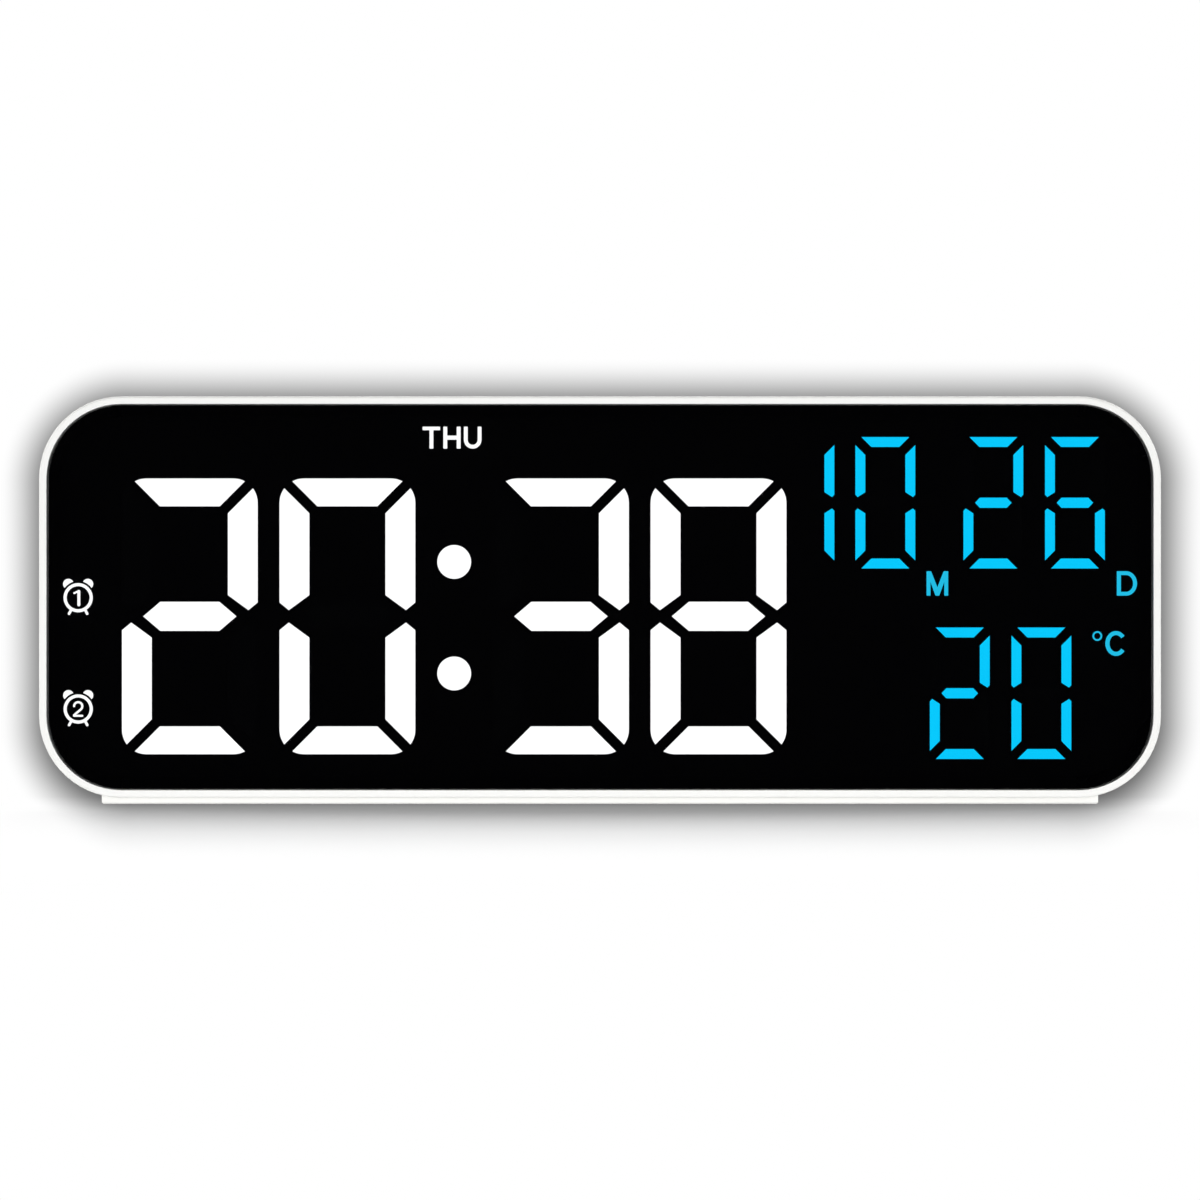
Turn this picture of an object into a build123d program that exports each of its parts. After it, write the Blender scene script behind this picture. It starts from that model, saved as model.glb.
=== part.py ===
from build123d import *
from math import cos, pi, sin, sqrt
import os

# Digital alarm clock. Lengths are millimetres.
# Seen from the front, X runs to the right, Y runs to the back and Z runs up.

# Large digits of the time
time_width = 20.05
time_height = 40.7
time_post = 4.42
time_bar = 4.12
time_middle = 4.3
time_corner = 3.6
time_bar_cut = 1.47
time_post_cut = 0.73
time_tip_in = 1.38
time_tip_up = 0.91
time_shoulder_up = 2.04
time_waist_up = 3.13
time_middle_tip = 3.13
time_middle_shoulder = 5.66
colon_radius = 2.5
colon_step = 16.46

# Small digits of the date and the temperature
small_width = 8.84
small_height = 19.4
small_post = 1.47
small_bar = 1.47
small_middle = 1.5
small_corner = 0.1
small_bar_cut = 0.88
small_post_cut = 1.18
small_tip_in = 0.34
small_tip_up = 0.84
small_shoulder_up = 1.18
small_waist_up = 1.56
small_middle_tip = 1.72
small_middle_shoulder = 2.43

# Places on the display, chained from the edges of the lens
icon_margin = 2.4
icon_width = 4.5
icon_gap = 3.85
digit_gap = 3.2
colon_space = 11.46
date_gap = 5.6
month_post_gap = 3.1
month_day_gap = 7.1
legend_gap = 1.5
legend_width = 3.1
legend_margin = 2.2
temperature_margin = 11.75
time_top_margin = 10.8
time_bottom_margin = 5.1
date_top_margin = 4.69
temperature_bottom_margin = 4.4
row_gap = 4.0
colon_below_middle = 0.2
legend_drop = 2.2
legend_height = 3.6
degree_gap = 2.75
degree_width = 5.0
weekday_drop = 4.88
weekday_pitch = 13.0
weekday_width = 9.0
weekday_height = 3.4
icon_rise = 12.0
icon_step = 16.4
icon_well_width = 4.0
icon_well_height = 3.2

# Case
rim_width = 1.2
rim_round = 0.35
corner_radius = 12.1
wall = 2.2
seam_chamfer = 0.25
rear_depth = 4.0
rear_wall = 2.0
rear_round = 2.0
lip_length = 2.0
lip_thickness = 1.2
lip_clearance = 0.15

# Foot
foot_height = 1.0
foot_inset = 9.0
foot_front_gap = 2.5
foot_depth = 18.0
foot_edge = 0.2
peg_radius = 1.5
peg_clearance = 0.1
peg_spacing = 45.0

# Lens and light box
lens_recess = 0.2
lens_thickness = 2.0
lens_clearance = 0.1
lens_edge = 0.2
ledge_width = 1.5
ledge_thickness = 1.6
tape_thickness = 0.2
film_thickness = 0.25
film_clearance = 0.2
tape_lap = 0.1
reflector_depth = 6.0
resin_depth = 1.5
board_thickness = 1.2
board_clearance = 0.3
chip_height = 0.6
time_chip_length = 2.0
time_chip_width = 1.25
small_chip_length = 1.6
small_chip_width = 0.8
driver_length = 12.0
driver_width = 6.0
driver_height = 1.6
driver_margin = 22.0

# Case screws, bosses and tubes
tube_radius = 2.4
tube_gap = 0.3
web_width = 2.0
notch_clearance = 0.2
screw_radius = 1.0
screw_clearance = 0.15
screw_seat_depth = 6.5
screw_head_radius = 1.75
screw_head_height = 1.4
screw_bite = 3.6
pilot_end = 0.5
cross_width = 0.6
cross_depth = 0.7
head_clearance = 0.15

# Battery bay, cells and contacts
cell_radius = 5.25
cell_length = 44.5
nub_radius = 1.9
nub_length = 1.0
cell_edge = 0.4
cell_gap = 0.6
cell_clearance = 0.4
cell_floor_gap = 0.3
cell_door_gap = 0.5
bay_floor = 1.2
bay_wall = 1.8
bay_board_gap = 1.05
bay_lift = 6.0
bay_to_middle = 5.0
contact_thickness = 0.4
contact_width = 8.0
tail_width = 2.0
tail_length = 2.0
tail_clearance = 0.1
spring_length = 4.2
spring_base_radius = 3.0
spring_top_radius = 2.1
spring_wire = 0.3
lead_radius = 0.6
lead_rise = 2.1
lead_bend = 1.4
lead_inset = 7.5
lead_over_bay = 2.0
tail_above_cell = 2.4

# Battery door
door_thickness = 1.6
door_ledge = 1.0
door_clearance = 0.25
door_corner = 1.0
tab_width = 6.0
tab_spacing = 15.0
tab_thickness = 1.0
tab_reach = 1.2
tab_root = 1.4
tab_clearance = 0.2
tab_side_clearance = 0.3
pocket_depth = 2.5
latch_width = 12.0
latch_length = 7.0
latch_slit = 0.8
grip_width = 8.0
grip_height = 0.8
grip_depth = 0.4
grip_pitch = 1.6

# Keys on the back
key_end_inset = 6.0
key_width = 8.0
key_height = 5.0
key_clearance = 0.2
key_flange = 0.7
key_flange_thickness = 0.8
key_edge = 0.5
key_inset = 0.2
key_travel = 0.5
key_recess_depth = 1.2
key_wall = 1.8
recess_margin = 2.0
key_pad_margin = 1.0
key_drop = 9.5
switch_size = 6.0
switch_height = 3.0
plunger_radius = 1.7
plunger_rise = 1.0
plunger_sink = 1.0
plunger_clearance = 0.15

# Control board and what it carries
control_length = 60.0
control_height = 29.0
lead_margin = 4.25
control_thickness = 1.2
post_radius = 2.3
post_inset = 3.5
post_screw_radius = 1.0
post_screw_head_radius = 1.9
post_screw_head_height = 1.3
post_screw_bite = 4.0
usb_width = 8.94
usb_height = 3.26
usb_wall = 0.3
usb_inset = 0.3
usb_clearance = 0.3
usb_from_end = 14.0
usb_rise = 6.0
tongue_width = 6.7
tongue_thickness = 0.7
tongue_inset = 1.0
buzzer_margin = 1.5
buzzer_key_gap = 2.8
buzzer_height = 5.0
buzzer_hole_radius = 1.0
buzzer_hole_depth = 1.5
buzzer_from_end = 14.0
slot_width = 1.4
slot_length_share = 0.75
slot_pitch = 2.6
clock_chip_length = 12.0
clock_chip_width = 7.5
clock_chip_height = 1.8
clock_chip_from_end = 17.0
crystal_radius = 1.0
crystal_length = 6.0
crystal_from_end = 16.0
crystal_drop = 8.0
bead_radius = 1.1
bead_length = 2.6
bead_leg_radius = 0.25
bead_leg_spacing = 0.6
bead_leg_length = 2.4
bead_gap = 1.4
bead_rise = 2.0
ribbon_width = 12.0
ribbon_thickness = 0.6
ribbon_shift = 8.0
ribbon_bend = 1.2

# Keyholes for hanging
keyhole_spacing = 90.0
keyhole_drop = 13.5
keyhole_head_radius = 3.75
keyhole_slot_radius = 2.0
keyhole_length = 6.0

# Counts and what the display shows
cell_count = 3
weekday_count = 7
key_names = ["set", "alarm", "up", "down", "snooze"]
slot_count = 5
grip_count = 3
spring_turns = 3
quarters_per_turn = 4
lit_segments = {"0": "abcdef", "1": "bc", "2": "abdeg", "3": "abcdg", "6": "acdefg", "8": "abcdefg"}
all_segments = "abcdefg"

# Sizes that follow
lens_width = (icon_margin + icon_width + icon_gap + 4 * time_width + 2 * digit_gap + colon_space + date_gap
              + small_post + month_post_gap + 3 * small_width + month_day_gap + digit_gap
              + legend_gap + legend_width + legend_margin)
time_rows = time_top_margin + time_height + time_bottom_margin
date_rows = date_top_margin + 2 * small_height + row_gap + temperature_bottom_margin
lens_height = max(time_rows, date_rows)
body_width = lens_width + 2 * rim_width
body_height = lens_height + 2 * rim_width
cell_space = cell_floor_gap + 2 * cell_radius + cell_door_gap
display_depth = (lens_recess + lens_thickness + tape_thickness + film_thickness + reflector_depth
                 + board_thickness)
body_depth = display_depth + bay_board_gap + bay_floor + cell_space + door_thickness

# Depths from front to back
front_y = -body_depth / 2
back_y = body_depth / 2
lens_front_y = front_y + lens_recess
lens_back_y = lens_front_y + lens_thickness
ledge_y = lens_back_y + tape_thickness
ledge_back_y = ledge_y + ledge_thickness
reflector_y = ledge_y + film_thickness
resin_back_y = reflector_y + resin_depth
board_y = reflector_y + reflector_depth
board_back_y = board_y + board_thickness
bay_front_y = board_back_y + bay_board_gap
bay_floor_y = bay_front_y + bay_floor
cell_y = bay_floor_y + cell_floor_gap + cell_radius
door_y = back_y - door_thickness
rear_wall_y = back_y - rear_wall
parting_y = back_y - rear_depth
screw_seat_y = back_y - screw_seat_depth
recess_y = back_y - key_recess_depth
key_wall_y = recess_y - key_wall
flange_y = key_wall_y - key_flange_thickness
switch_top_y = flange_y - plunger_rise
control_back_y = switch_top_y - switch_height
control_y = control_back_y - control_thickness

# Heights
body_bottom = foot_height
body_top = foot_height + body_height
body_middle = foot_height + body_height / 2
lens_bottom = body_bottom + rim_width
lens_top = lens_bottom + lens_height

# Places of the digits
lens_right = lens_width / 2
lens_left = -lens_right
digit_step = time_width + digit_gap
hour_tens_x = lens_left + icon_margin + icon_width + icon_gap + time_width / 2
hour_units_x = hour_tens_x + digit_step
colon_x = hour_units_x + time_width / 2 + colon_space / 2
minute_tens_x = colon_x + colon_space / 2 + time_width / 2
minute_units_x = minute_tens_x + digit_step
time_z = lens_bottom + time_bottom_margin + time_height / 2
day_units_x = lens_right - legend_margin - legend_width - legend_gap - small_width / 2
day_tens_x = day_units_x - small_width - digit_gap
month_units_x = day_tens_x - small_width - month_day_gap
month_tens_x = month_units_x - small_width - month_post_gap
date_z = lens_top - date_top_margin - small_height / 2
temperature_units_x = lens_right - temperature_margin - small_width / 2
temperature_tens_x = temperature_units_x - small_width - digit_gap
temperature_z = lens_bottom + temperature_bottom_margin + small_height / 2

# Places of the screws, the bay and the control board
screw_from_corner = corner_radius - wall - tube_gap - tube_radius
corner_x = body_width / 2 - corner_radius
low_screw = screw_from_corner / sqrt(2)
low_screw_z = body_bottom + corner_radius - low_screw
top_screw_z = body_top - corner_radius
screw_ways = [(corner_x + screw_from_corner, top_screw_z, 0),
              (-corner_x - screw_from_corner, top_screw_z, 180),
              (corner_x + low_screw, low_screw_z, -45), (-corner_x - low_screw, low_screw_z, -135)]
screw_places = [(x, z) for x, z, angle in screw_ways]
bay_length = 2 * contact_thickness + cell_length + spring_length
bay_height = 2 * cell_count * cell_radius + (cell_count - 1) * cell_gap + 2 * cell_clearance
bay_right = -bay_to_middle
bay_left = bay_right - bay_length
bay_x = (bay_left + bay_right) / 2
bay_bottom = body_bottom + bay_lift
bay_z = bay_bottom + bay_height / 2
cell_step = 2 * cell_radius + cell_gap
cell_places = [bay_bottom + cell_clearance + cell_radius + i * cell_step for i in range(cell_count)]
opening_width = bay_length + 2 * door_ledge
opening_height = bay_height + 2 * door_ledge
opening_bottom = bay_bottom - door_ledge
door_bottom = opening_bottom + door_clearance
hinge_y = back_y - door_thickness / 2
hinge_z = door_bottom + door_thickness / 2
control_x = (bay_right + bay_wall + body_width / 2 - wall) / 2
tail_y = control_y - lead_rise
tail_left_z = cell_places[0] + tail_above_cell
tail_right_z = cell_places[-1] + tail_above_cell
control_left = control_x - control_length / 2
control_right = control_x + control_length / 2
control_top = tail_right_z + lead_margin
control_bottom = control_top - control_height
control_z = control_bottom + control_height / 2
key_z = control_top - key_drop
key_row_length = control_length - 2 * key_end_inset
key_pitch = key_row_length / (len(key_names) - 1)
key_places = [control_x - key_row_length / 2 + i * key_pitch for i in range(len(key_names))]
key_skirt_bottom = key_z - key_height / 2 - key_flange
usb_x = control_left + usb_from_end
usb_z = control_bottom + usb_rise
buzzer_bottom = control_bottom + buzzer_margin
buzzer_radius = (key_skirt_bottom - buzzer_key_gap - buzzer_bottom) / 2
buzzer_x = control_right - buzzer_from_end
buzzer_z = buzzer_bottom + buzzer_radius
slot_length = slot_length_share * 2 * buzzer_radius
post_places = [(x, z) for x in (control_left + post_inset, control_right - post_inset)
               for z in (control_bottom + post_inset, control_top - post_inset)]
keyhole_z = body_top - keyhole_drop
foot_y = front_y + foot_front_gap + foot_depth / 2


# Forms that repeat

def front_view(outline, front, back):
    """Solid with an outline as seen from the front, between two depths."""
    return extrude(Plane.XZ.offset(-back) * outline, amount=back - front)


def rod(x, z, radius, front, back):
    """Round bar along the depth."""
    return front_view(Pos(x, z) * Circle(radius), front, back)


def block(x, z, width, height, front, back):
    """Square bar along the depth."""
    return front_view(Pos(x, z) * Rectangle(width, height), front, back)


def case_outline(inset):
    """Outline of the case, moved inwards."""
    return Pos(0, body_middle) * RectangleRounded(
        body_width - 2 * inset, body_height - 2 * inset, corner_radius - inset)


def outward(x, z, angle, reach, width):
    """Strip that runs from a point towards the edge of the case."""
    return Pos(x, z) * Rot(0, 0, angle) * Pos(reach / 2, 0) * Rectangle(reach, width)


def grouped(solids):
    """Separate solids kept side by side in one node."""
    return Compound(children=[piece for solid in solids for piece in solid.solids()])


# Display layout

def flipped(points, across, up):
    """Face from points, mirrored across or up where the factor is minus one."""
    moved = [(x * across, z * up) for x, z in points]
    if across * up < 0:
        moved.reverse()
    return make_face(Polyline(*moved, close=True))


def segment_outlines(width, height, post, bar, middle, corner, bar_cut, post_cut, tip_in, tip_up,
                     shoulder_up, waist_up, middle_tip, middle_shoulder):
    """Outlines of the seven segments around the middle of a digit."""
    side = width / 2
    top = height / 2
    limit = RectangleRounded(width, height, corner)
    bar_points = [(side - bar_cut, top), (-side + bar_cut, top),
                  (-side + bar_cut + bar, top - bar), (side - bar_cut - bar, top - bar)]
    post_points = [(-side, top - post_cut), (-side, shoulder_up), (-side + tip_in, tip_up),
                   (-side + post, waist_up), (-side + post, top - post_cut - post)]
    middle_points = [(-side + middle_tip, 0), (-side + middle_shoulder, -middle / 2),
                     (side - middle_shoulder, -middle / 2), (side - middle_tip, 0),
                     (side - middle_shoulder, middle / 2), (-side + middle_shoulder, middle / 2)]
    return {
        "a": flipped(bar_points, 1, 1) & limit,
        "b": flipped(post_points, -1, 1) & limit,
        "c": flipped(post_points, -1, -1) & limit,
        "d": flipped(bar_points, 1, -1) & limit,
        "e": flipped(post_points, 1, -1) & limit,
        "f": flipped(post_points, 1, 1) & limit,
        "g": flipped(middle_points, 1, 1),
    }


time_outlines = segment_outlines(
    time_width, time_height, time_post, time_bar, time_middle, time_corner, time_bar_cut, time_post_cut,
    time_tip_in, time_tip_up, time_shoulder_up, time_waist_up, time_middle_tip, time_middle_shoulder)
small_outlines = segment_outlines(
    small_width, small_height, small_post, small_bar, small_middle, small_corner, small_bar_cut,
    small_post_cut, small_tip_in, small_tip_up, small_shoulder_up, small_waist_up, small_middle_tip,
    small_middle_shoulder)


def digit_row(outlines, digits):
    """Placed outlines of a row of digits: those that are lit and those that are dark."""
    lit, dark = [], []
    for x, z, shown, present in digits:
        for name in present:
            target = lit if name in lit_segments[shown] else dark
            target.append(Pos(x, z) * outlines[name])
    return lit, dark


time_lit, time_dark = digit_row(time_outlines, [
    (hour_tens_x, time_z, "2", all_segments), (hour_units_x, time_z, "0", all_segments),
    (minute_tens_x, time_z, "3", all_segments), (minute_units_x, time_z, "8", all_segments)])
date_lit, date_dark = digit_row(small_outlines, [
    (month_tens_x, date_z, "1", "bc"), (month_units_x, date_z, "0", all_segments),
    (day_tens_x, date_z, "2", all_segments), (day_units_x, date_z, "6", all_segments)])
temperature_lit, temperature_dark = digit_row(small_outlines, [
    (temperature_tens_x, temperature_z, "2", all_segments),
    (temperature_units_x, temperature_z, "0", all_segments)])
colon_outlines = [Pos(colon_x, time_z - colon_below_middle + up * colon_step / 2) * Circle(colon_radius)
                  for up in (-1, 1)]


def legend_outlines():
    """Light wells behind the printed marks: weekdays, alarms, month, day and degree."""
    month_day_z = date_z - small_height / 2 - legend_drop
    month_x = month_units_x + small_width / 2 + legend_gap + legend_width / 2
    day_x = day_units_x + small_width / 2 + legend_gap + legend_width / 2
    degree_x = temperature_units_x + small_width / 2 + degree_gap + degree_width / 2
    degree_z = temperature_z + small_height / 2 - legend_drop
    icon_x = lens_left + icon_margin + icon_width / 2
    wells = [Pos(colon_x + (i - (weekday_count - 1) / 2) * weekday_pitch, lens_top - weekday_drop)
             * Rectangle(weekday_width, weekday_height) for i in range(weekday_count)]
    wells += [Pos(icon_x, lens_bottom + icon_rise + i * icon_step)
              * Rectangle(icon_well_width, icon_well_height) for i in range(2)]
    wells += [Pos(x, month_day_z) * Rectangle(legend_width, legend_height) for x in (month_x, day_x)]
    wells += [Pos(degree_x, degree_z) * Rectangle(degree_width, legend_height)]
    return wells


time_wells = time_lit + time_dark + colon_outlines
small_wells = date_lit + date_dark + temperature_lit + temperature_dark
legend_wells = legend_outlines()


# Case

def front_housing():
    shell = front_view(case_outline(0), front_y, parting_y)
    shell = fillet(shell.edges().group_by(Axis.Y)[0], rim_round)
    shell = chamfer(shell.edges().group_by(Axis.Y)[-1], seam_chamfer)
    shell -= front_view(case_outline(rim_width - lens_clearance), front_y, ledge_y)
    shell -= front_view(case_outline(rim_width + ledge_width), ledge_y, ledge_back_y)
    shell -= front_view(case_outline(wall), ledge_back_y, parting_y)
    for x, z, angle in screw_ways:
        web = outward(x, z, angle, tube_radius + tube_gap + wall / 2, web_width)
        shell += rod(x, z, tube_radius, ledge_back_y, board_y)
        shell += front_view(web, ledge_back_y, board_y)
        shell -= rod(x, z, screw_radius, board_y - screw_bite - pilot_end, board_y)
    for x in (-peg_spacing, 0, peg_spacing):
        shell -= Pos(x, foot_y, body_bottom + wall / 2) * Cylinder(peg_radius + peg_clearance, 2 * wall)
    return shell


def base_foot():
    height = corner_radius
    strip = Pos(0, foot_y, height / 2) * Box(body_width - 2 * foot_inset, foot_depth, height)
    strip = chamfer(strip.edges().group_by(Axis.Z)[0], foot_edge)
    strip -= front_view(case_outline(0), front_y, back_y)
    strip = strip.solids().sort_by(Axis.Z)[0]
    for x in (-peg_spacing, 0, peg_spacing):
        strip += Pos(x, foot_y, body_bottom + wall / 2) * Cylinder(peg_radius, wall)
    return strip


def front_lens():
    plate = front_view(case_outline(rim_width), lens_front_y, lens_back_y)
    return chamfer(plate.edges().group_by(Axis.Y)[0], lens_edge)


def lens_tape():
    inside = case_outline(rim_width + ledge_width + film_clearance + tape_lap)
    return front_view(case_outline(rim_width) - inside, lens_back_y, ledge_y)


def case_screws():
    screws = []
    for x, z in screw_places:
        head_back = screw_seat_y + screw_head_height
        screw = rod(x, z, screw_head_radius, screw_seat_y, head_back)
        screw += rod(x, z, screw_radius, board_y - screw_bite, screw_seat_y)
        for width, height in ((cross_width, screw_head_radius), (screw_head_radius, cross_width)):
            screw -= block(x, z, width, height, head_back - cross_depth, head_back)
        screws.append(screw)
    return grouped(screws)


def keyhole_outline(x):
    """Round entry with a slot above it."""
    slot_z = keyhole_z + keyhole_length / 2
    outline = Pos(x, keyhole_z) * Circle(keyhole_head_radius)
    outline += Pos(x, slot_z) * Rectangle(2 * keyhole_slot_radius, keyhole_length)
    return outline + Pos(x, keyhole_z + keyhole_length) * Circle(keyhole_slot_radius)


def key_row_outline(margin):
    """Long rounded outline around the row of keys."""
    length = key_row_length + key_width + 2 * margin
    return Pos(control_x, key_z) * SlotOverall(length, key_height + 2 * margin)


def rear_shell():
    """Plain back of the case with its lip."""
    shell = front_view(case_outline(0), parting_y, back_y)
    shell = fillet(shell.edges().group_by(Axis.Y)[-1], rear_round)
    shell = chamfer(shell.edges().group_by(Axis.Y)[0], seam_chamfer)
    shell -= front_view(case_outline(wall), parting_y, rear_wall_y)
    inside = case_outline(wall + lip_clearance + lip_thickness)
    shell += front_view(case_outline(wall) - inside, parting_y, rear_wall_y)
    shell += front_view(case_outline(wall + lip_clearance) - inside, parting_y - lip_length, rear_wall_y)
    return shell


def battery_bay(shell):
    """Adds the bay to the rear shell, with the door's rebate and the slots for tabs and tails."""
    shell += block(bay_x, bay_z, bay_length + 2 * bay_wall, bay_height + 2 * bay_wall,
                   bay_front_y, rear_wall_y)
    shell -= block(bay_x, bay_z, bay_length, bay_height, bay_floor_y, back_y)
    shell -= block(bay_x, bay_z, opening_width, opening_height, door_y, back_y)
    pocket_width = tab_width + 2 * tab_side_clearance
    for x in (bay_x - tab_spacing, bay_x + tab_spacing):
        shell -= block(x, bay_bottom - bay_wall / 2, pocket_width, bay_wall,
                       rear_wall_y - pocket_depth, rear_wall_y)
        shell -= block(x, bay_bottom - door_ledge / 2, pocket_width, door_ledge, rear_wall_y, door_y)
    for x, z in ((bay_left - bay_wall / 2, tail_left_z), (bay_right + bay_wall / 2, tail_right_z)):
        half = contact_thickness / 2 + tail_clearance
        shell -= block(x, z, bay_wall, tail_width + 2 * tail_clearance, tail_y - half, tail_y + half)
    return shell


def rear_cover():
    shell = battery_bay(rear_shell())
    for x, z in screw_places:
        shell += rod(x, z, tube_radius, board_back_y, rear_wall_y)
        shell -= rod(x, z, screw_radius + screw_clearance, board_back_y, screw_seat_y)
        shell -= rod(x, z, screw_head_radius + head_clearance, screw_seat_y, back_y)
    for x, z in post_places:
        shell += rod(x, z, post_radius, control_back_y, rear_wall_y)
        shell -= rod(x, z, post_screw_radius, control_back_y, control_back_y + post_screw_bite + pilot_end)
    shell += front_view(key_row_outline(recess_margin + key_pad_margin), key_wall_y, rear_wall_y)
    shell -= front_view(key_row_outline(recess_margin), recess_y, back_y)
    for x in key_places:
        hole = Pos(x, key_z) * SlotOverall(key_width + 2 * key_clearance, key_height + 2 * key_clearance)
        shell -= front_view(hole, key_wall_y, recess_y)
    usb_hole = Pos(usb_x, usb_z) * SlotOverall(usb_width + 2 * usb_clearance, usb_height + 2 * usb_clearance)
    shell -= front_view(usb_hole, rear_wall_y, back_y)
    for i in range(slot_count):
        x = buzzer_x + (i - (slot_count - 1) / 2) * slot_pitch
        shell -= front_view(Pos(x, buzzer_z) * Rot(0, 0, 90) * SlotOverall(slot_length, slot_width),
                            rear_wall_y, back_y)
    for x in (-keyhole_spacing / 2, keyhole_spacing / 2):
        shell -= front_view(keyhole_outline(x), rear_wall_y, back_y)
    return shell


# Battery door

def battery_door():
    width = opening_width - 2 * door_clearance
    top = opening_bottom + opening_height - door_clearance
    plate = block(bay_x, (hinge_z + top) / 2, width, top - hinge_z, door_y, back_y)
    plate = fillet(plate.edges().filter_by(Axis.Y).group_by(Axis.Z)[-1], door_corner)
    plate += Pos(bay_x, hinge_y, hinge_z) * Rot(0, 90, 0) * Cylinder(door_thickness / 2, width)
    tab_back = rear_wall_y - tab_clearance
    tab_front = tab_back - tab_thickness
    tab_top = door_bottom + door_thickness / 2 + tab_root
    for x in (bay_x - tab_spacing, bay_x + tab_spacing):
        tab_bottom = opening_bottom - tab_reach
        plate += block(x, (tab_bottom + tab_top) / 2, tab_width, tab_top - tab_bottom, tab_front, tab_back)
        plate += block(x, tab_top - tab_root / 2, tab_width, tab_root, tab_front, hinge_y)
    for side in (-1, 1):
        x = bay_x + side * (latch_width + latch_slit) / 2
        plate -= block(x, top - latch_length / 2, latch_slit, latch_length, door_y, back_y)
    for i in range(grip_count):
        z = top - latch_length / 2 + (i - (grip_count - 1) / 2) * grip_pitch
        plate -= block(bay_x, z, grip_width, grip_height, back_y - grip_depth, back_y)
    return plate


# Cells and contacts

def plus_side(i):
    """Side on which a cell's plus end lies: cells in series alternate."""
    return -1 if i % 2 == 0 else 1


def plus_end_x(i):
    """Where a cell's nub touches its contact plate."""
    return bay_x + plus_side(i) * (bay_length / 2 - contact_thickness)


def battery_cells():
    cells = []
    for i, z in enumerate(cell_places):
        side = plus_side(i)
        body = cell_length - nub_length
        can_x = plus_end_x(i) - side * (nub_length + body / 2)
        can = Pos(can_x, cell_y, z) * Rot(0, 90, 0) * Cylinder(cell_radius, body)
        can = fillet(can.edges().filter_by(GeomType.CIRCLE), cell_edge)
        nub = Pos(plus_end_x(i) - side * nub_length / 2, cell_y, z) * Rot(0, 90, 0)
        cells.append(can + nub * Cylinder(nub_radius, nub_length))
    return grouped(cells)


def contact(side, z_low, z_high):
    """Plate against an end wall of the bay, over one cell or two."""
    x = bay_x + side * (bay_length / 2 - contact_thickness / 2)
    depth = contact_width
    height = z_high - z_low + contact_width
    return Pos(x, cell_y, (z_low + z_high) / 2) * Box(contact_thickness, depth, height)


def contact_tail(side, z):
    """Solder tail through the end wall."""
    length = bay_wall + tail_length + contact_thickness
    x = bay_x + side * (bay_length / 2 + length / 2 - contact_thickness)
    return Pos(x, tail_y, z) * Box(length, contact_thickness, tail_width)


def battery_contacts():
    low, middle, high = cell_places
    plus_plate = contact(-1, low, low) + contact_tail(-1, tail_left_z)
    minus_plate = contact(1, high, high) + contact_tail(1, tail_right_z)
    return grouped([plus_plate, contact(-1, middle, high), contact(1, low, middle), minus_plate])


def biarc(start, start_way, end, end_way):
    """Two arcs that leave and arrive in the given directions."""
    span = end - start
    ways = start_way + end_way
    turn = 2 * (1 - start_way.dot(end_way))
    along = span.dot(ways)
    reach = (-along + sqrt(along * along + turn * span.dot(span))) / turn
    knee_start = start + start_way * reach
    knee_end = end - end_way * reach
    joint = (knee_start + knee_end) * 0.5
    joint_way = (knee_end - knee_start).normalized()
    return [TangentArc(start, joint, tangent=start_way), TangentArc(joint, end, tangent=joint_way)]


def coil_path(z, base_x, side):
    """Conical coil along X, from a contact plate towards a cell."""
    steps = spring_turns * quarters_per_turn
    rise = (spring_length - 2 * spring_wire) / steps
    shrink = (spring_base_radius - spring_top_radius) / steps
    points, ways = [], []
    for k in range(steps + 1):
        angle = k * 2 * pi / quarters_per_turn
        radius = spring_base_radius - k * shrink
        x = base_x - side * (spring_wire + k * rise)
        points.append(Vector(x, cell_y + radius * cos(angle), z + radius * sin(angle)))
        per_angle = quarters_per_turn / (2 * pi)
        ways.append(Vector(-side * rise * per_angle,
                           -radius * sin(angle) - shrink * per_angle * cos(angle),
                           radius * cos(angle) - shrink * per_angle * sin(angle)).normalized())
    arcs = []
    for k in range(steps):
        arcs += biarc(points[k], ways[k], points[k + 1], ways[k + 1])
    return Wire(arcs)


def least_gap(path, thickness):
    """Least distance of a coil to itself, between points far apart along it."""
    count = 400
    points = [path.position_at(k / count) for k in range(count + 1)]
    apart = int(3 * thickness / path.length * count) + 1
    return min((points[j] - points[i]).length for i in range(count)
               for j in range(i + apart, count + 1)) - thickness


def battery_springs():
    springs = []
    for i, z in enumerate(cell_places):
        side = -plus_side(i)
        base_x = bay_x + side * (bay_length / 2 - contact_thickness)
        path = coil_path(z, base_x, side)
        section = Plane(origin=path @ 0, z_dir=path % 0) * Circle(spring_wire)
        springs.append(sweep(section, path=path))
        print("spring", i, "least gap", round(least_gap(path, 2 * spring_wire), 3))
    return grouped(springs)


def lead(points):
    """Round wire along rounded corners."""
    path = FilletPolyline(*points, radius=lead_bend)
    return sweep(Plane(origin=path @ 0, z_dir=path % 0) * Circle(lead_radius), path=path)


def plus_lead():
    x = bay_left - bay_wall - tail_length
    y = tail_y
    z = tail_left_z
    out_x = x - 2 * lead_bend
    over_z = bay_bottom + bay_height + bay_wall + lead_over_bay
    pad_x = control_left + 2 * lead_inset
    pad_z = control_top - lead_inset
    return lead([(x, y, z), (out_x, y, z), (out_x, y, over_z), (pad_x, y, over_z),
                 (pad_x, y, pad_z), (pad_x, control_y, pad_z)])


def minus_lead():
    x = bay_right + bay_wall + tail_length
    y = tail_y
    z = tail_right_z
    pad_x = control_left + lead_inset
    return lead([(x, y, z), (pad_x, y, z), (pad_x, control_y, z)])


# Display

def display_film():
    sheet = front_view(case_outline(rim_width + ledge_width + film_clearance), ledge_y, reflector_y)
    return sheet - [front_view(outline, ledge_y, reflector_y) for outline in time_wells + small_wells]


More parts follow.
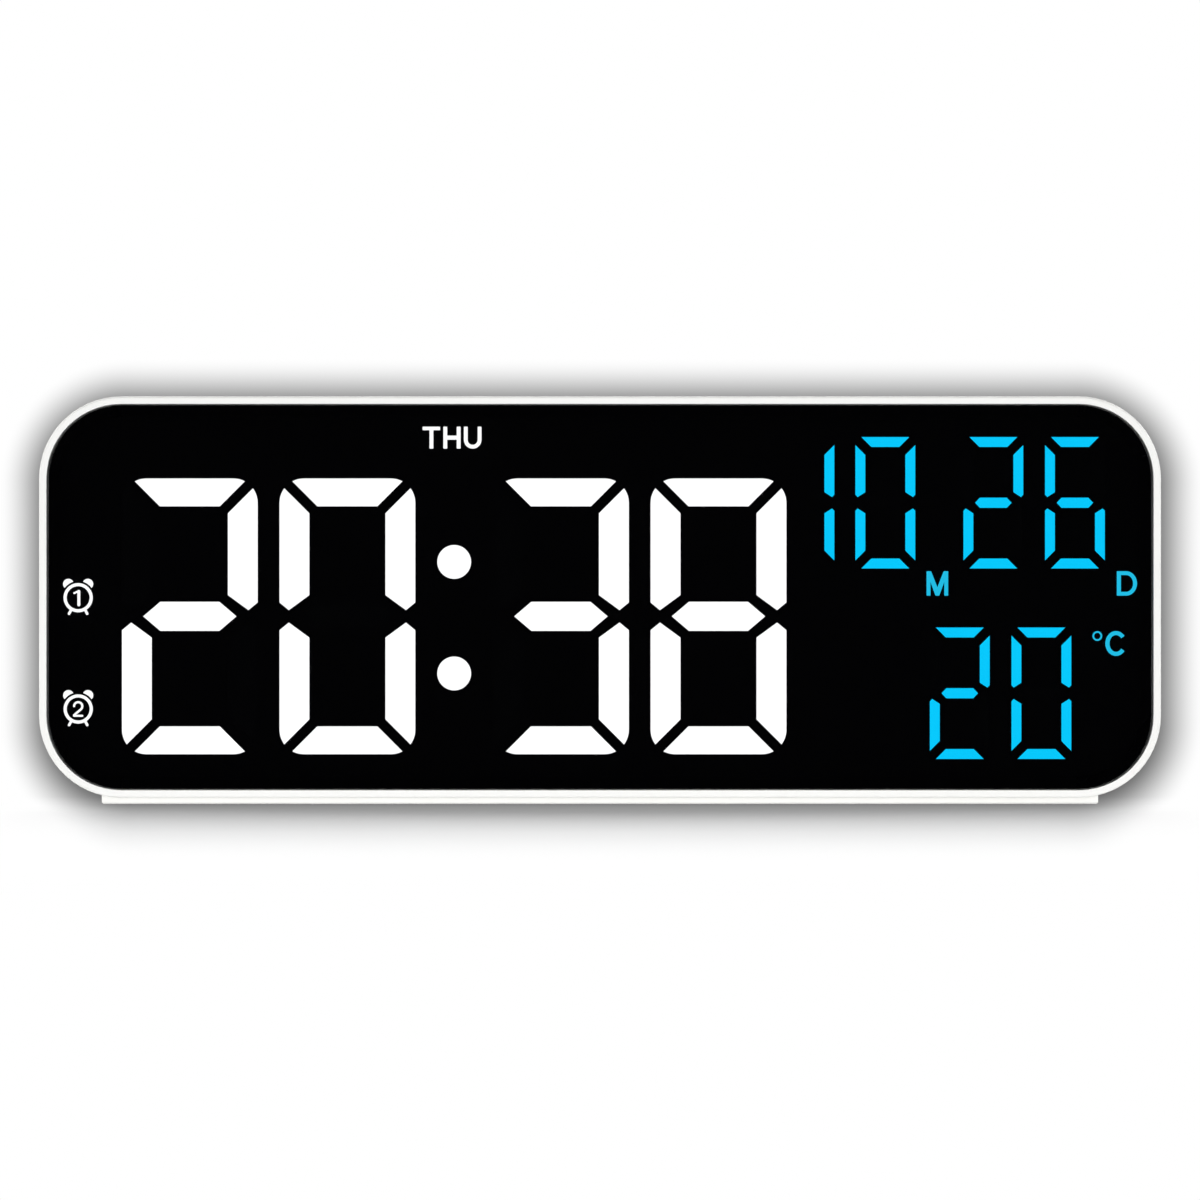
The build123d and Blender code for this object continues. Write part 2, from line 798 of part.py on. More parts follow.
def display_reflector():
    box = front_view(case_outline(rim_width + ledge_width + film_clearance), reflector_y, board_y)
    box -= [rod(x, z, tube_radius + notch_clearance, reflector_y, board_y) for x, z in screw_places]
    for x, z, angle in screw_ways:
        notch = outward(x, z, angle, corner_radius, 2 * (tube_radius + notch_clearance))
        box -= front_view(notch, reflector_y, board_y)
    wells = time_wells + small_wells + legend_wells
    return box - [front_view(outline, reflector_y, board_y) for outline in wells]


def resin(outlines):
    """Diffusing fill in the mouths of light wells."""
    return grouped([front_view(outline, reflector_y, resin_back_y) for outline in outlines])


def display_board():
    board = front_view(case_outline(wall + board_clearance), board_y, board_back_y)
    return board - [rod(x, z, screw_radius + screw_clearance, board_y, board_back_y) for x, z in screw_places]


def chips_in_well(outline, length, width, count):
    """Light-emitting chips spread along a well."""
    box = outline.bounding_box()
    middle = box.center()
    chips = []
    for i in range(count):
        share = (2 * i + 1) / (2 * count) - 0.5
        if box.size.X > box.size.Y:
            place = (middle.X + share * box.size.X, middle.Y, length, width)
        else:
            place = (middle.X, middle.Y + share * box.size.Y, width, length)
        chips.append(block(*place, board_y - chip_height, board_y))
    return chips


def light_chips():
    chips = []
    for outline in time_lit + time_dark:
        chips += chips_in_well(outline, time_chip_length, time_chip_width, 2)
    for outline in colon_outlines + small_wells + legend_wells:
        chips += chips_in_well(outline, small_chip_length, small_chip_width, 1)
    return grouped(chips)


def driver_chip():
    x = lens_right - driver_margin - driver_length / 2
    return block(x, keyhole_z, driver_length, driver_width, board_back_y, board_back_y + driver_height)


# Control board

def control_board():
    board = block(control_x, control_z, control_length, control_height, control_y, control_back_y)
    return board - [rod(x, z, post_screw_radius, control_y, control_back_y) for x, z in post_places]


def control_screws():
    screws = []
    for x, z in post_places:
        head = rod(x, z, post_screw_head_radius, control_y - post_screw_head_height, control_y)
        screws.append(head + rod(x, z, post_screw_radius, control_y, control_back_y + post_screw_bite))
    return grouped(screws)


def key_switches():
    bodies = []
    hole_front = switch_top_y - plunger_sink - key_travel - plunger_clearance
    for x in key_places:
        body = block(x, key_z, switch_size, switch_size, control_back_y, switch_top_y)
        bodies.append(body - rod(x, key_z, plunger_radius + plunger_clearance, hole_front, switch_top_y))
    return grouped(bodies)


def key_plunger(x):
    return rod(x, key_z, plunger_radius, switch_top_y - plunger_sink, flange_y)


def key(x):
    cap = front_view(Pos(x, key_z) * SlotOverall(key_width, key_height), flange_y, back_y - key_inset)
    cap = fillet(cap.edges().group_by(Axis.Y)[-1], key_edge)
    skirt = Pos(x, key_z) * SlotOverall(key_width + 2 * key_flange, key_height + 2 * key_flange)
    return cap + front_view(skirt, flange_y, key_wall_y)


def usb_shell():
    outside = Pos(usb_x, usb_z) * SlotOverall(usb_width, usb_height)
    inside = Pos(usb_x, usb_z) * SlotOverall(usb_width - 2 * usb_wall, usb_height - 2 * usb_wall)
    shell = front_view(outside, control_back_y, back_y - usb_inset)
    return shell - front_view(inside, control_back_y + usb_wall, back_y - usb_inset)


def usb_tongue():
    return block(usb_x, usb_z, tongue_width, tongue_thickness, control_back_y + usb_wall,
                 back_y - usb_inset - tongue_inset)


def buzzer():
    top = control_back_y + buzzer_height
    can = rod(buzzer_x, buzzer_z, buzzer_radius, control_back_y, top)
    return can - rod(buzzer_x, buzzer_z, buzzer_hole_radius, top - buzzer_hole_depth, top)


def clock_chip():
    x = control_left + clock_chip_from_end
    return block(x, control_z, clock_chip_length, clock_chip_width, control_y - clock_chip_height, control_y)


def crystal():
    x = control_right - crystal_from_end
    z = control_z - crystal_drop
    return Pos(x, control_y - crystal_radius, z) * Rot(0, 90, 0) * Cylinder(crystal_radius, crystal_length)


def temperature_sensor():
    x = buzzer_x + buzzer_radius + bead_gap + bead_radius
    z = buzzer_z + bead_rise
    top = control_back_y + bead_leg_length
    bead = rod(x, z, bead_radius, top, top + bead_length)
    for side in (-1, 1):
        bead += rod(x + side * bead_leg_spacing, z, bead_leg_radius, control_back_y, top)
    return bead


def board_ribbon():
    middle_y = (board_back_y + control_y) / 2
    start_x = control_x + ribbon_shift
    line = FilletPolyline((start_x, board_back_y), (start_x, middle_y), (control_x, middle_y),
                          (control_x, control_y), radius=ribbon_bend)
    band = extrude(trace(line, line_width=ribbon_thickness), amount=ribbon_width)
    band = Pos(0, 0, control_z - ribbon_width / 2) * band
    limits = block(control_x, control_z, control_length, 2 * ribbon_width, board_back_y, control_y)
    return band & limits


# All nodes

nodes = {
    "front_housing": front_housing(),
    "front_lens": front_lens(),
    "lens_tape": lens_tape(),
    "rear_cover": rear_cover(),
    "base_foot": base_foot(),
    "case_screws": case_screws(),
    "battery_door": battery_door(),
    "display_film": display_film(),
    "display_reflector": display_reflector(),
    "time_segments_lit": resin(time_lit),
    "time_segments_dark": resin(time_dark),
    "colon_dots": resin(colon_outlines),
    "date_segments_lit": resin(date_lit),
    "date_segments_dark": resin(date_dark),
    "temperature_segments_lit": resin(temperature_lit),
    "temperature_segments_dark": resin(temperature_dark),
    "legend_diffusers": resin(legend_wells),
    "display_board": display_board(),
    "light_chips": light_chips(),
    "driver_chip": driver_chip(),
    "control_board": control_board(),
    "control_screws": control_screws(),
    "key_switches": key_switches(),
    "usb_shell": usb_shell(),
    "usb_tongue": usb_tongue(),
    "buzzer": buzzer(),
    "clock_chip": clock_chip(),
    "crystal": crystal(),
    "temperature_sensor": temperature_sensor(),
    "board_ribbon": board_ribbon(),
    "battery_cells": battery_cells(),
    "battery_contacts": battery_contacts(),
    "battery_springs": battery_springs(),
    "plus_lead": plus_lead(),
    "minus_lead": minus_lead(),
}
for key_name, key_x in zip(key_names, key_places):
    nodes[key_name + "_key"] = key(key_x)
    nodes[key_name + "_plunger"] = key_plunger(key_x)

os.makedirs("parts", exist_ok=True)
for node_name, shape in nodes.items():
    export_step(shape, "parts/" + node_name + ".step")
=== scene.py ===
from math import atan2, cos, hypot, pi, radians, sin

import bmesh
import bpy
from mathutils import Matrix, Vector


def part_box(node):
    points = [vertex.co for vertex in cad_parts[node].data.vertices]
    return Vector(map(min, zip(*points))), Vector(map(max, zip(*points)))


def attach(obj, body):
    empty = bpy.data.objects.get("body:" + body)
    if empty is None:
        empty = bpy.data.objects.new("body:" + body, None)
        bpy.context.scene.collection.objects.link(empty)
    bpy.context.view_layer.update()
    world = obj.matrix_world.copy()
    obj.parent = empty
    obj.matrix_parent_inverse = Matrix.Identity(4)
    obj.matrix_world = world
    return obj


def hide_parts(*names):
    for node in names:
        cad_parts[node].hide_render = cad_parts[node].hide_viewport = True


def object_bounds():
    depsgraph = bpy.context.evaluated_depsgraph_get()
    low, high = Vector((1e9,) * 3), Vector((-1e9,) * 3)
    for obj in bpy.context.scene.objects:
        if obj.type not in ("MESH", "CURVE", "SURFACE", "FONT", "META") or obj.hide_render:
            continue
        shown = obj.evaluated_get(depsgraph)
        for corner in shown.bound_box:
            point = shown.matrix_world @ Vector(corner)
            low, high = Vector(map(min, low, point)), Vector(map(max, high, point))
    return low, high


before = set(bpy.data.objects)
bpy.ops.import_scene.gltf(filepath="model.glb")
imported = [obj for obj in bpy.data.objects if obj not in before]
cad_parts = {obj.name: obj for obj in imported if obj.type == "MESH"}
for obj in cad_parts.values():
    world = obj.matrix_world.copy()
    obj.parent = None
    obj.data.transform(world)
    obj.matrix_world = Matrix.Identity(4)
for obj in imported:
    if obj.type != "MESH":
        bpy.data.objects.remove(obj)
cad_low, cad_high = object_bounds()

bl_info = {
    "name": "Digital alarm clock looks",
    "version": (1, 0, 0),
    "blender": (4, 5, 0),
    "location": "3D View > Sidebar > Clock",
    "description": "Finishes, lit marks, key symbols and a plain studio for a desk clock",
    "category": "Object",
}

# Lengths in the code are metres, and MM turns millimetres into them. Marks are drawn in millimetres.
MM = 0.001
WHITE = "FFFFFF"

# Sizes at which the marks are drawn, in millimetres. The settings scale them.
WEEKDAY_DRAWN_HEIGHT = 3.32
LETTER_DRAWN_HEIGHT = 3.7
ALARM_DRAWN_RADIUS = 2.15
SYMBOL_DRAWN_HEIGHT = 4.6

lens_low, lens_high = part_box("front_lens")
colon_low, colon_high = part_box("colon_dots")
cells_low, cells_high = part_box("battery_cells")
cells_middle = (cells_low + cells_high) / 2
cell_radius = (cells_high.y - cells_low.y) / 2
cell_step = (cells_high.z - cells_low.z) / 2 - cell_radius


# Settings that a user would change

def hex_prop(name, default, description):
    """A colour as an sRGB hex value."""
    return bpy.props.StringProperty(name=name, description=description, default=default, maxlen=6)


def mm_prop(name, default_mm, description):
    """A length, given in millimetres and kept in metres."""
    return bpy.props.FloatProperty(name=name, description=description, default=default_mm * MM,
                                   unit="LENGTH", subtype="DISTANCE", precision=5)


def power_prop(name, default, description):
    """A lamp's power in watts."""
    return bpy.props.FloatProperty(name=name, description=description, default=default, unit="POWER",
                                   subtype="POWER")


def share_prop(name, default, description):
    """A plain share."""
    return bpy.props.FloatProperty(name=name, description=description, default=default, subtype="FACTOR")


class ClockColours(bpy.types.PropertyGroup):
    """Colours of the clock, as sRGB hex values"""
    case: hex_prop("Case", "F6F6F4", "Moulded white case")
    case_shade: hex_prop("Case shade", "F2F2EF", "Warmer white in the case's cloudy tone")
    foot: hex_prop("Foot", "F4F4F1", "Rubber foot strip")
    white_light: hex_prop("White light", WHITE, "Lit digits of the time")
    white_dim: hex_prop("White light, dim", "F7F8FA", "White digits between their light chips")
    cyan_light: hex_prop("Cyan light", "05CCFF", "Lit digits of date and temperature")
    cyan_dim: hex_prop("Cyan light, dim", "05C6FA", "Cyan digits between their light chips")
    cyan_mark: hex_prop("Cyan mark", "22C0E8", "Lit letters beside the small digits")
    key: hex_prop("Key", "C9CCCE", "Key caps on the back")
    key_print: hex_prop("Key print", "33373A", "Symbols on the key caps")
    board: hex_prop("Board", "1E5B3A", "Solder mask of the boards")
    sleeve: hex_prop("Cell sleeve", "3E5F7E", "Printed sleeve of the cells")
    sleeve_band: hex_prop("Cell band", "C8CED3", "Band at the plus end of a cell")


class ClockSizes(bpy.types.PropertyGroup):
    """Sizes of the marks, symbols and springs"""
    mark_gap: mm_prop("Mark gap", 0.04, "Gap between the lens and a lit mark")
    mark_depth: mm_prop("Mark depth", 0.1, "Thickness of a lit mark")
    weekday_height: mm_prop("Weekday height", WEEKDAY_DRAWN_HEIGHT, "Height of the weekday's capitals")
    letter_height: mm_prop("Letter height", LETTER_DRAWN_HEIGHT, "Height of the month and day letters")
    alarm_radius: mm_prop("Alarm radius", ALARM_DRAWN_RADIUS, "Outer radius of the alarm mark's ring")
    print_depth: mm_prop("Print depth", 0.02, "Thickness of the print on a key")
    symbol_height: mm_prop("Symbol height", 2.6, "Height of a key's symbol")
    spring_wire: mm_prop("Spring wire", 0.3, "Radius of the contact spring's wire")
    spring_base: mm_prop("Spring base", 3.0, "Radius of the spring at its plate")
    spring_top: mm_prop("Spring top", 2.1, "Radius of the spring at the cell")
    spring_length: mm_prop("Spring length", 4.2, "Length of the fitted spring")
    spring_turns: bpy.props.IntProperty(name="Spring turns", description="Turns of a contact spring",
                                        default=4, min=3)


class ClockStage(bpy.types.PropertyGroup):
    """Camera, lamps and the painted shade round the clock"""
    frame_width: mm_prop("Frame width", 176.4, "Width of the picture at the clock's front")
    camera_distance: mm_prop("Camera distance", 660.0, "Distance from the camera to the front")
    camera_height: mm_prop("Camera height", 30.06, "Height of the camera over the floor")
    key_power: power_prop("Key power", 6.9, "Frontal lamp")
    bounce_power: power_prop("Bounce power", 1.4, "Light that the white floor throws back up")
    top_power: power_prop("Top power", 6.0, "Soft lamp over and behind the clock")
    side_power: power_prop("Side power", 3.6, "Each soft lamp at the sides")
    end_power: power_prop("End power", 3.4, "Each low soft lamp beside the clock's ends")
    back_power: power_prop("Back power", 2.0, "Soft lamp behind the clock")
    ambient: share_prop("Ambient", 0.15, "Light from all round")
    wall_gap: mm_prop("Wall gap", 0.4, "Gap between the clock's back and the wall")
    halo_width: mm_prop("Halo width", 6.0, "Width of the soft shade round the clock")
    halo_corner: mm_prop("Halo corner", 13.0, "Corner radius of the shade's outline")
    halo_margin: mm_prop("Halo margin", 0.25, "Distance of the shade's outline from the clock's")
    halo_shift: mm_prop("Halo shift", 0.25, "Distance of the shade to the right")
    halo_height: mm_prop("Halo height", 29.43, "Height of the middle of the shade on the wall")
    halo_spread: share_prop("Halo spread", 1.0385, "Size of the shade's outline on the wall, in clocks")
    halo_dark: share_prop("Halo dark", 0.15, "Brightness of the shade where it is darkest")
    halo_reach: mm_prop("Halo reach", 145.0, "Length of the shade in front of the clock")
    halo_drop: mm_prop("Halo drop", 7.97, "Height on the wall that the reach stands for")
    halo_flare: share_prop("Halo flare", 0.791, "Width of the clock in shades at the front end")
    halo_front: share_prop("Halo front", 0.65, "Painted share of the shade in front")


# Materials

def srgb(code):
    """An sRGB hex value as linear red, green, blue and full alpha."""
    channels = [int(code[i:i + 2], 16) / 255 for i in (0, 2, 4)]
    return [c / 12.92 if c <= 0.04045 else ((c + 0.055) / 1.055) ** 2.4 for c in channels] + [1.0]


def add_node(tree, kind, inputs=None, **settings):
    """Adds a node with its settings. An input is a value, a socket, or a node linked by its first output."""
    made = tree.nodes.new(kind)
    for name, value in settings.items():
        setattr(made, name, value)
    for name, value in (inputs or {}).items():
        if isinstance(value, bpy.types.Node):
            value = value.outputs[0]
        if isinstance(value, bpy.types.NodeSocket):
            tree.links.new(value, made.inputs[name])
        else:
            made.inputs[name].default_value = value
    return made


def start_material(name):
    """A new material, its empty tree, and the place on the object."""
    material = bpy.data.materials.new(name)
    material.use_nodes = True
    tree = material.node_tree
    tree.nodes.clear()
    return material, tree, add_node(tree, "ShaderNodeTexCoord").outputs["Object"]


def close_material(tree, inputs):
    """Puts the shader on the surface."""
    shader = add_node(tree, "ShaderNodeBsdfPrincipled", inputs)
    add_node(tree, "ShaderNodeOutputMaterial", {"Surface": shader})


def per_metre(size_mm):
    """Scale of a pattern whose marks have this size."""
    return 1 / (size_mm * MM)


# A Mix node for colours has its factor at input 0, its colours at 6 and 7, and its result at output 2.

def plastic(name, colour, shade, grain_mm, relief_mm, roughness, ior, specular=0.5):
    """Moulded or extruded plastic: a cloudy tone over centimetres and an even grain from the tool."""
    cloud_mm = 40.0
    material, tree, place = start_material(name)
    cloud = add_node(tree, "ShaderNodeTexNoise", {
        "Vector": place, "Scale": per_metre(cloud_mm), "Detail": 3.0, "Roughness": 0.6})
    tone = add_node(tree, "ShaderNodeMix", {0: cloud, 6: srgb(colour), 7: srgb(shade)}, data_type="RGBA")
    grain = add_node(tree, "ShaderNodeTexNoise", {
        "Vector": place, "Scale": per_metre(grain_mm), "Detail": 2.0, "Roughness": 0.55})
    relief = add_node(tree, "ShaderNodeBump", {"Height": grain, "Strength": 0.5, "Distance": relief_mm * MM})
    gloss = add_node(tree, "ShaderNodeMapRange", {
        "Value": grain, "From Min": 0.3, "From Max": 0.7,
        "To Min": roughness - 0.05, "To Max": roughness + 0.05})
    close_material(tree, {
        "Base Color": tone.outputs[2], "Roughness": gloss, "IOR": ior, "Specular IOR Level": specular,
        "Normal": relief})
    return material


def smoked_acrylic():
    """Cast acrylic tinted black and polished: a mirror-like face with faint slanting wiping marks."""
    smear_mm = 22.0
    material, tree, place = start_material("smoked_acrylic_polished")
    wiping = add_node(tree, "ShaderNodeMapping", {
        "Vector": place, "Rotation": (0.0, radians(25), 0.0), "Scale": (1.0, 1.0, 4.0)})
    smear = add_node(tree, "ShaderNodeTexNoise", {
        "Vector": wiping, "Scale": per_metre(smear_mm), "Detail": 4.0})
    gloss = add_node(tree, "ShaderNodeMapRange", {
        "Value": smear, "From Min": 0.35, "From Max": 0.7, "To Min": 0.03, "To Max": 0.09})
    close_material(tree, {"Base Color": srgb("020203"), "Roughness": gloss, "IOR": 1.49, "Alpha": 0.5})
    return material


def lit_resin(name, bright, dim, strength):
    """Milky resin or ink over light chips: it glows evenly, a shade less between the chips. The lens
    takes three quarters of its light."""
    chip_pitch_mm = 6.0
    material, tree, place = start_material(name)
    patches = add_node(tree, "ShaderNodeTexNoise", {
        "Vector": place, "Scale": per_metre(chip_pitch_mm), "Detail": 1.0})
    glow = add_node(tree, "ShaderNodeMix", {0: patches, 6: srgb(bright), 7: srgb(dim)}, data_type="RGBA")
    close_material(tree, {
        "Base Color": srgb("101112"), "Roughness": 0.5, "Emission Color": glow.outputs[2],
        "Emission Strength": strength})
    return material


def plated_steel(name, colour, brush_mm, roughness):
    """Nickel-plated steel: bright metal with fine drawing lines along its length."""
    material, tree, place = start_material(name)
    drawn = add_node(tree, "ShaderNodeMapping", {"Vector": place, "Scale": (0.08, 1.0, 1.0)})
    lines = add_node(tree, "ShaderNodeTexNoise", {
        "Vector": drawn, "Scale": per_metre(brush_mm), "Detail": 3.0})
    gloss = add_node(tree, "ShaderNodeMapRange", {
        "Value": lines, "From Min": 0.3, "From Max": 0.7,
        "To Min": roughness - 0.08, "To Max": roughness + 0.08})
    tone = add_node(tree, "ShaderNodeMix", {0: lines, 6: srgb(colour), 7: srgb("A9A7A1")}, data_type="RGBA")
    close_material(tree, {"Base Color": tone.outputs[2], "Metallic": 1.0, "Roughness": gloss})
    return material


def solder_mask(colour):
    """Glass-fibre board under glossy solder mask: copper tracks show as paler, raised lines."""
    field_mm, track_mm = 10.0, 0.04
    material, tree, place = start_material("circuit_board_masked")
    flat = add_node(tree, "ShaderNodeMapping", {"Vector": place, "Rotation": (radians(-90), 0.0, 0.0)})
    tracks = add_node(tree, "ShaderNodeTexBrick", {
        "Vector": flat, "Color1": srgb(colour), "Color2": srgb("1A5235"),
        "Mortar": srgb("3C8A5C"), "Scale": per_metre(field_mm), "Mortar Size": 0.03,
        "Mortar Smooth": 0.2, "Brick Width": 0.7, "Row Height": 0.16},
        offset=0.37, squash=0.6, squash_frequency=3)
    relief = add_node(tree, "ShaderNodeBump", {
        "Height": tracks.outputs["Fac"], "Strength": 0.6, "Distance": track_mm * MM})
    close_material(tree, {
        "Base Color": tracks.outputs["Color"], "Roughness": 0.28, "IOR": 1.5, "Normal": relief})
    return material


def striped_plastic(name, colour, stripe, turn, pitch_mm, roughness, bare_metal=False):
    """Plastic with even stripes: the wires of a ribbon, or the bare contacts on a socket's tongue."""
    relief_mm = 0.1
    material, tree, place = start_material(name)
    across = add_node(tree, "ShaderNodeMapping", {"Vector": place, "Rotation": turn})
    # At a scale of 1 a wave repeats every 2 pi / 20 of a metre.
    wave = add_node(tree, "ShaderNodeTexWave", {
        "Vector": across, "Scale": per_metre(pitch_mm) * 2 * pi / 20, "Detail": 0.0},
        wave_type="BANDS", bands_direction="X")
    edge = add_node(tree, "ShaderNodeMapRange", {
        "Value": wave.outputs["Fac"], "From Min": 0.4, "From Max": 0.6})
    tone = add_node(tree, "ShaderNodeMix", {0: edge, 6: srgb(colour), 7: srgb(stripe)}, data_type="RGBA")
    relief = add_node(tree, "ShaderNodeBump", {
        "Height": wave.outputs["Fac"], "Strength": 0.5, "Distance": relief_mm * MM})
    close_material(tree, {
        "Base Color": tone.outputs[2], "Roughness": roughness, "Normal": relief,
        "Metallic": edge if bare_metal else 0.0})
    return material


def cell_sleeve(colours):
    """Printed shrink sleeve: a pale band at the plus end with a plus sign, a minus sign at the other
    end, and bare steel on the end faces."""
    band_length, plus_inset, minus_inset = 11 * MM, 6 * MM, 9 * MM
    arm, bar = 1.3 * MM, 0.3 * MM
    fibre_mm = 1.5
    half_length = (cells_high.x - cells_low.x) / 2
    plus_x, minus_x = plus_inset - half_length, half_length - minus_inset

    material, tree, place = start_material("cell_sleeve_printed")
    centred = add_node(tree, "ShaderNodeVectorMath", {0: place, 1: cells_middle}, operation="SUBTRACT")
    split = add_node(tree, "ShaderNodeSeparateXYZ", {"Vector": centred}).outputs
    # The middle cell lies the other way round.
    inner = add_node(tree, "ShaderNodeMath", {0: split["Z"], 1: 0.0, 2: cell_step / 2}, operation="COMPARE")
    way = add_node(tree, "ShaderNodeMapRange", {"Value": inner, "To Min": 1.0, "To Max": -1.0})
    along = add_node(tree, "ShaderNodeMath", {0: split["X"], 1: way}, operation="MULTIPLY")
    across = add_node(tree, "ShaderNodeMath", {
        0: split["Z"], 1: cell_step / 2, 2: -cell_step / 2}, operation="WRAP")
    band = add_node(tree, "ShaderNodeMath", {0: along, 1: band_length - half_length}, operation="LESS_THAN")
    sign = 0.0
    for centre, half_long, half_wide in ((plus_x, arm, bar), (plus_x, bar, arm), (minus_x, arm, bar)):
        near_x = add_node(tree, "ShaderNodeMath", {0: along, 1: centre, 2: half_long}, operation="COMPARE")
        near_z = add_node(tree, "ShaderNodeMath", {0: across, 1: 0.0, 2: half_wide}, operation="COMPARE")
        inked = add_node(tree, "ShaderNodeMath", {0: near_x, 1: near_z}, operation="MULTIPLY")
        sign = add_node(tree, "ShaderNodeMath", {0: inked, 1: sign}, operation="MAXIMUM")
    normal = add_node(tree, "ShaderNodeNewGeometry").outputs["Normal"]
    facing = add_node(tree, "ShaderNodeSeparateXYZ", {"Vector": normal}).outputs["X"]
    # The end faces are those that face along the cell.
    turned = add_node(tree, "ShaderNodeMath", {0: facing}, operation="ABSOLUTE")
    end = add_node(tree, "ShaderNodeMath", {0: turned, 1: 0.5}, operation="GREATER_THAN")
    fibre = add_node(tree, "ShaderNodeTexNoise", {
        "Vector": place, "Scale": per_metre(fibre_mm), "Detail": 3.0})
    ground = add_node(tree, "ShaderNodeMix", {
        0: band, 6: srgb(colours.sleeve), 7: srgb(colours.sleeve_band)}, data_type="RGBA")
    ink = add_node(tree, "ShaderNodeMix", {0: band, 6: srgb("F2F4F5"), 7: srgb("23282D")}, data_type="RGBA")
    printed = add_node(tree, "ShaderNodeMix", {
        0: sign, 6: ground.outputs[2], 7: ink.outputs[2]}, data_type="RGBA")
    whole = add_node(tree, "ShaderNodeMix", {
        0: end, 6: printed.outputs[2], 7: srgb("C4C3BE")}, data_type="RGBA")
    gloss = add_node(tree, "ShaderNodeMapRange", {"Value": fibre, "To Min": 0.22, "To Max": 0.4})
    close_material(tree, {"Base Color": whole.outputs[2], "Metallic": end, "Roughness": gloss})
    return material


def paint(material, *names):
    """Gives CAD nodes a finish."""
    for name in names:
        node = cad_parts[name]
        if not node.material_slots:
            node.data.materials.append(material)
        for slot in node.material_slots:
            slot.material = material


# Flat marks, drawn in millimetres in the plane of the face and then given their depth

def polygon(bm, corners):
    """One flat face through a few corners."""
    bm.faces.new([bm.verts.new((u * MM, 0.0, v * MM)) for u, v in corners])


def mirrored(corners, middle):
    """The other half of an outline, in the order that goes on round it."""
    return [(2 * middle - u, v) for u, v in reversed(corners)]


def disc(bm, u, v, radius, segments=32):
    """A round face; returns its vertices."""
    turn = Matrix.Translation((u * MM, 0.0, v * MM)) @ Matrix.Rotation(radians(90), 4, "X")
    return bmesh.ops.create_circle(bm, cap_ends=True, radius=radius * MM, segments=segments,
                                   matrix=turn)["verts"]


def stroke(bm, start, end, width):
    """A straight stroke with round ends."""
    sides = 18
    along = Vector((end[0] - start[0], 0.0, end[1] - start[1]))
    verts = disc(bm, 0.0, 0.0, width / 2, sides)
    # Half a side's turn leaves no corner on the line where the disc is drawn apart.
    bmesh.ops.rotate(bm, verts=verts, matrix=Matrix.Rotation(pi / sides, 3, "Y"))
    far = [vert for vert in verts if vert.co.x > 0]
    bmesh.ops.translate(bm, verts=far, vec=(along.length * MM, 0.0, 0.0))
    bmesh.ops.rotate(bm, verts=verts, matrix=Matrix.Rotation(-atan2(along.z, along.x), 3, "Y"))
    bmesh.ops.translate(bm, verts=verts, vec=(start[0] * MM, 0.0, start[1] * MM))


def band_start(bm, one, other):
    """The edge that a band grows from."""
    return bm.edges.new([bm.verts.new((u * MM, 0.0, v * MM)) for u, v in (one, other)])


def band_line(bm, edge, along, up):
    """Grows a band straight on; returns its new end."""
    grown = bmesh.ops.extrude_edge_only(bm, edges=[edge])["geom"]
    verts = [part for part in grown if isinstance(part, bmesh.types.BMVert)]
    bmesh.ops.translate(bm, verts=verts, vec=(along * MM, 0.0, up * MM))
    return bm.edges.get(verts)


def band_arc(bm, edge, centre, degrees, steps=32):
    """Grows a band round a centre, clockwise as the face is seen; returns its new end."""
    last = bmesh.ops.spin(bm, geom=[edge, *edge.verts], cent=(centre[0] * MM, 0.0, centre[1] * MM),
                          axis=(0.0, 1.0, 0.0), angle=radians(degrees), steps=steps)["geom_last"]
    return next(part for part in last if isinstance(part, bmesh.types.BMEdge))


def ring(bm, radius, width):
    """A closed ring round the middle of the mark."""
    edge = band_start(bm, (radius - width, 0.0), (radius, 0.0))
    bmesh.ops.spin(bm, geom=[edge, *edge.verts], cent=(0.0, 0.0, 0.0), axis=(0.0, 1.0, 0.0), angle=2 * pi,
                   steps=64, use_merge=True)


def round_corners(bm, radius):
    """Rounds the corners of drawn letters."""
    corners = [vert for vert in bm.verts if len(vert.link_edges) == 2]
    bmesh.ops.bevel(bm, geom=corners, offset=radius * MM, affect="VERTICES", segments=3, profile=0.5,
                    material=-1)


def squeeze(bm, centre, middle, inner_share, outer_share):
    """Draws the inner and the outer side of a round band nearer to its upright axis."""
    u, v = centre[0] * MM, centre[1] * MM
    for vert in bm.verts:
        outside = hypot(vert.co.x - u, vert.co.z - v) > middle * MM
        vert.co.x = u + (vert.co.x - u) * (outer_share if outside else inner_share)


def add_object(bm, name, material):
    """Makes an object of a finished mesh."""
    mesh = bpy.data.meshes.new(name)
    bm.to_mesh(mesh)
    bm.free()
    mesh.materials.append(material)
    made = bpy.data.objects.new(name, mesh)
    bpy.context.scene.collection.objects.link(made)
    return made


def make_piece(bm, name, material, body):
    """Makes a piece and fixes it to a body."""
    piece = add_object(bm, name, material)
    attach(piece, body)
    return piece


def make_mark(bm, name, place, depth, scale, material, body, from_behind=False):
    """Gives a drawn mark its depth, puts it in place and fixes it to a body."""
    bmesh.ops.remove_doubles(bm, verts=bm.verts[:], dist=0.001 * MM)
    bm.normal_update()
    bmesh.ops.reverse_faces(bm, faces=[face for face in bm.faces if face.normal.y > 0])
    bm.normal_update()
    bmesh.ops.solidify(bm, geom=bm.faces[:], thickness=depth)
    bmesh.ops.scale(bm, verts=bm.verts[:], vec=(-scale if from_behind else scale, 1.0, scale))
    bmesh.ops.recalc_face_normals(bm, faces=bm.faces[:])
    near = min(vert.co.y for vert in bm.verts)
    bmesh.ops.translate(bm, verts=bm.verts[:], vec=(place[0], place[1] - near, place[2]))
    make_piece(bm, name, material, body)


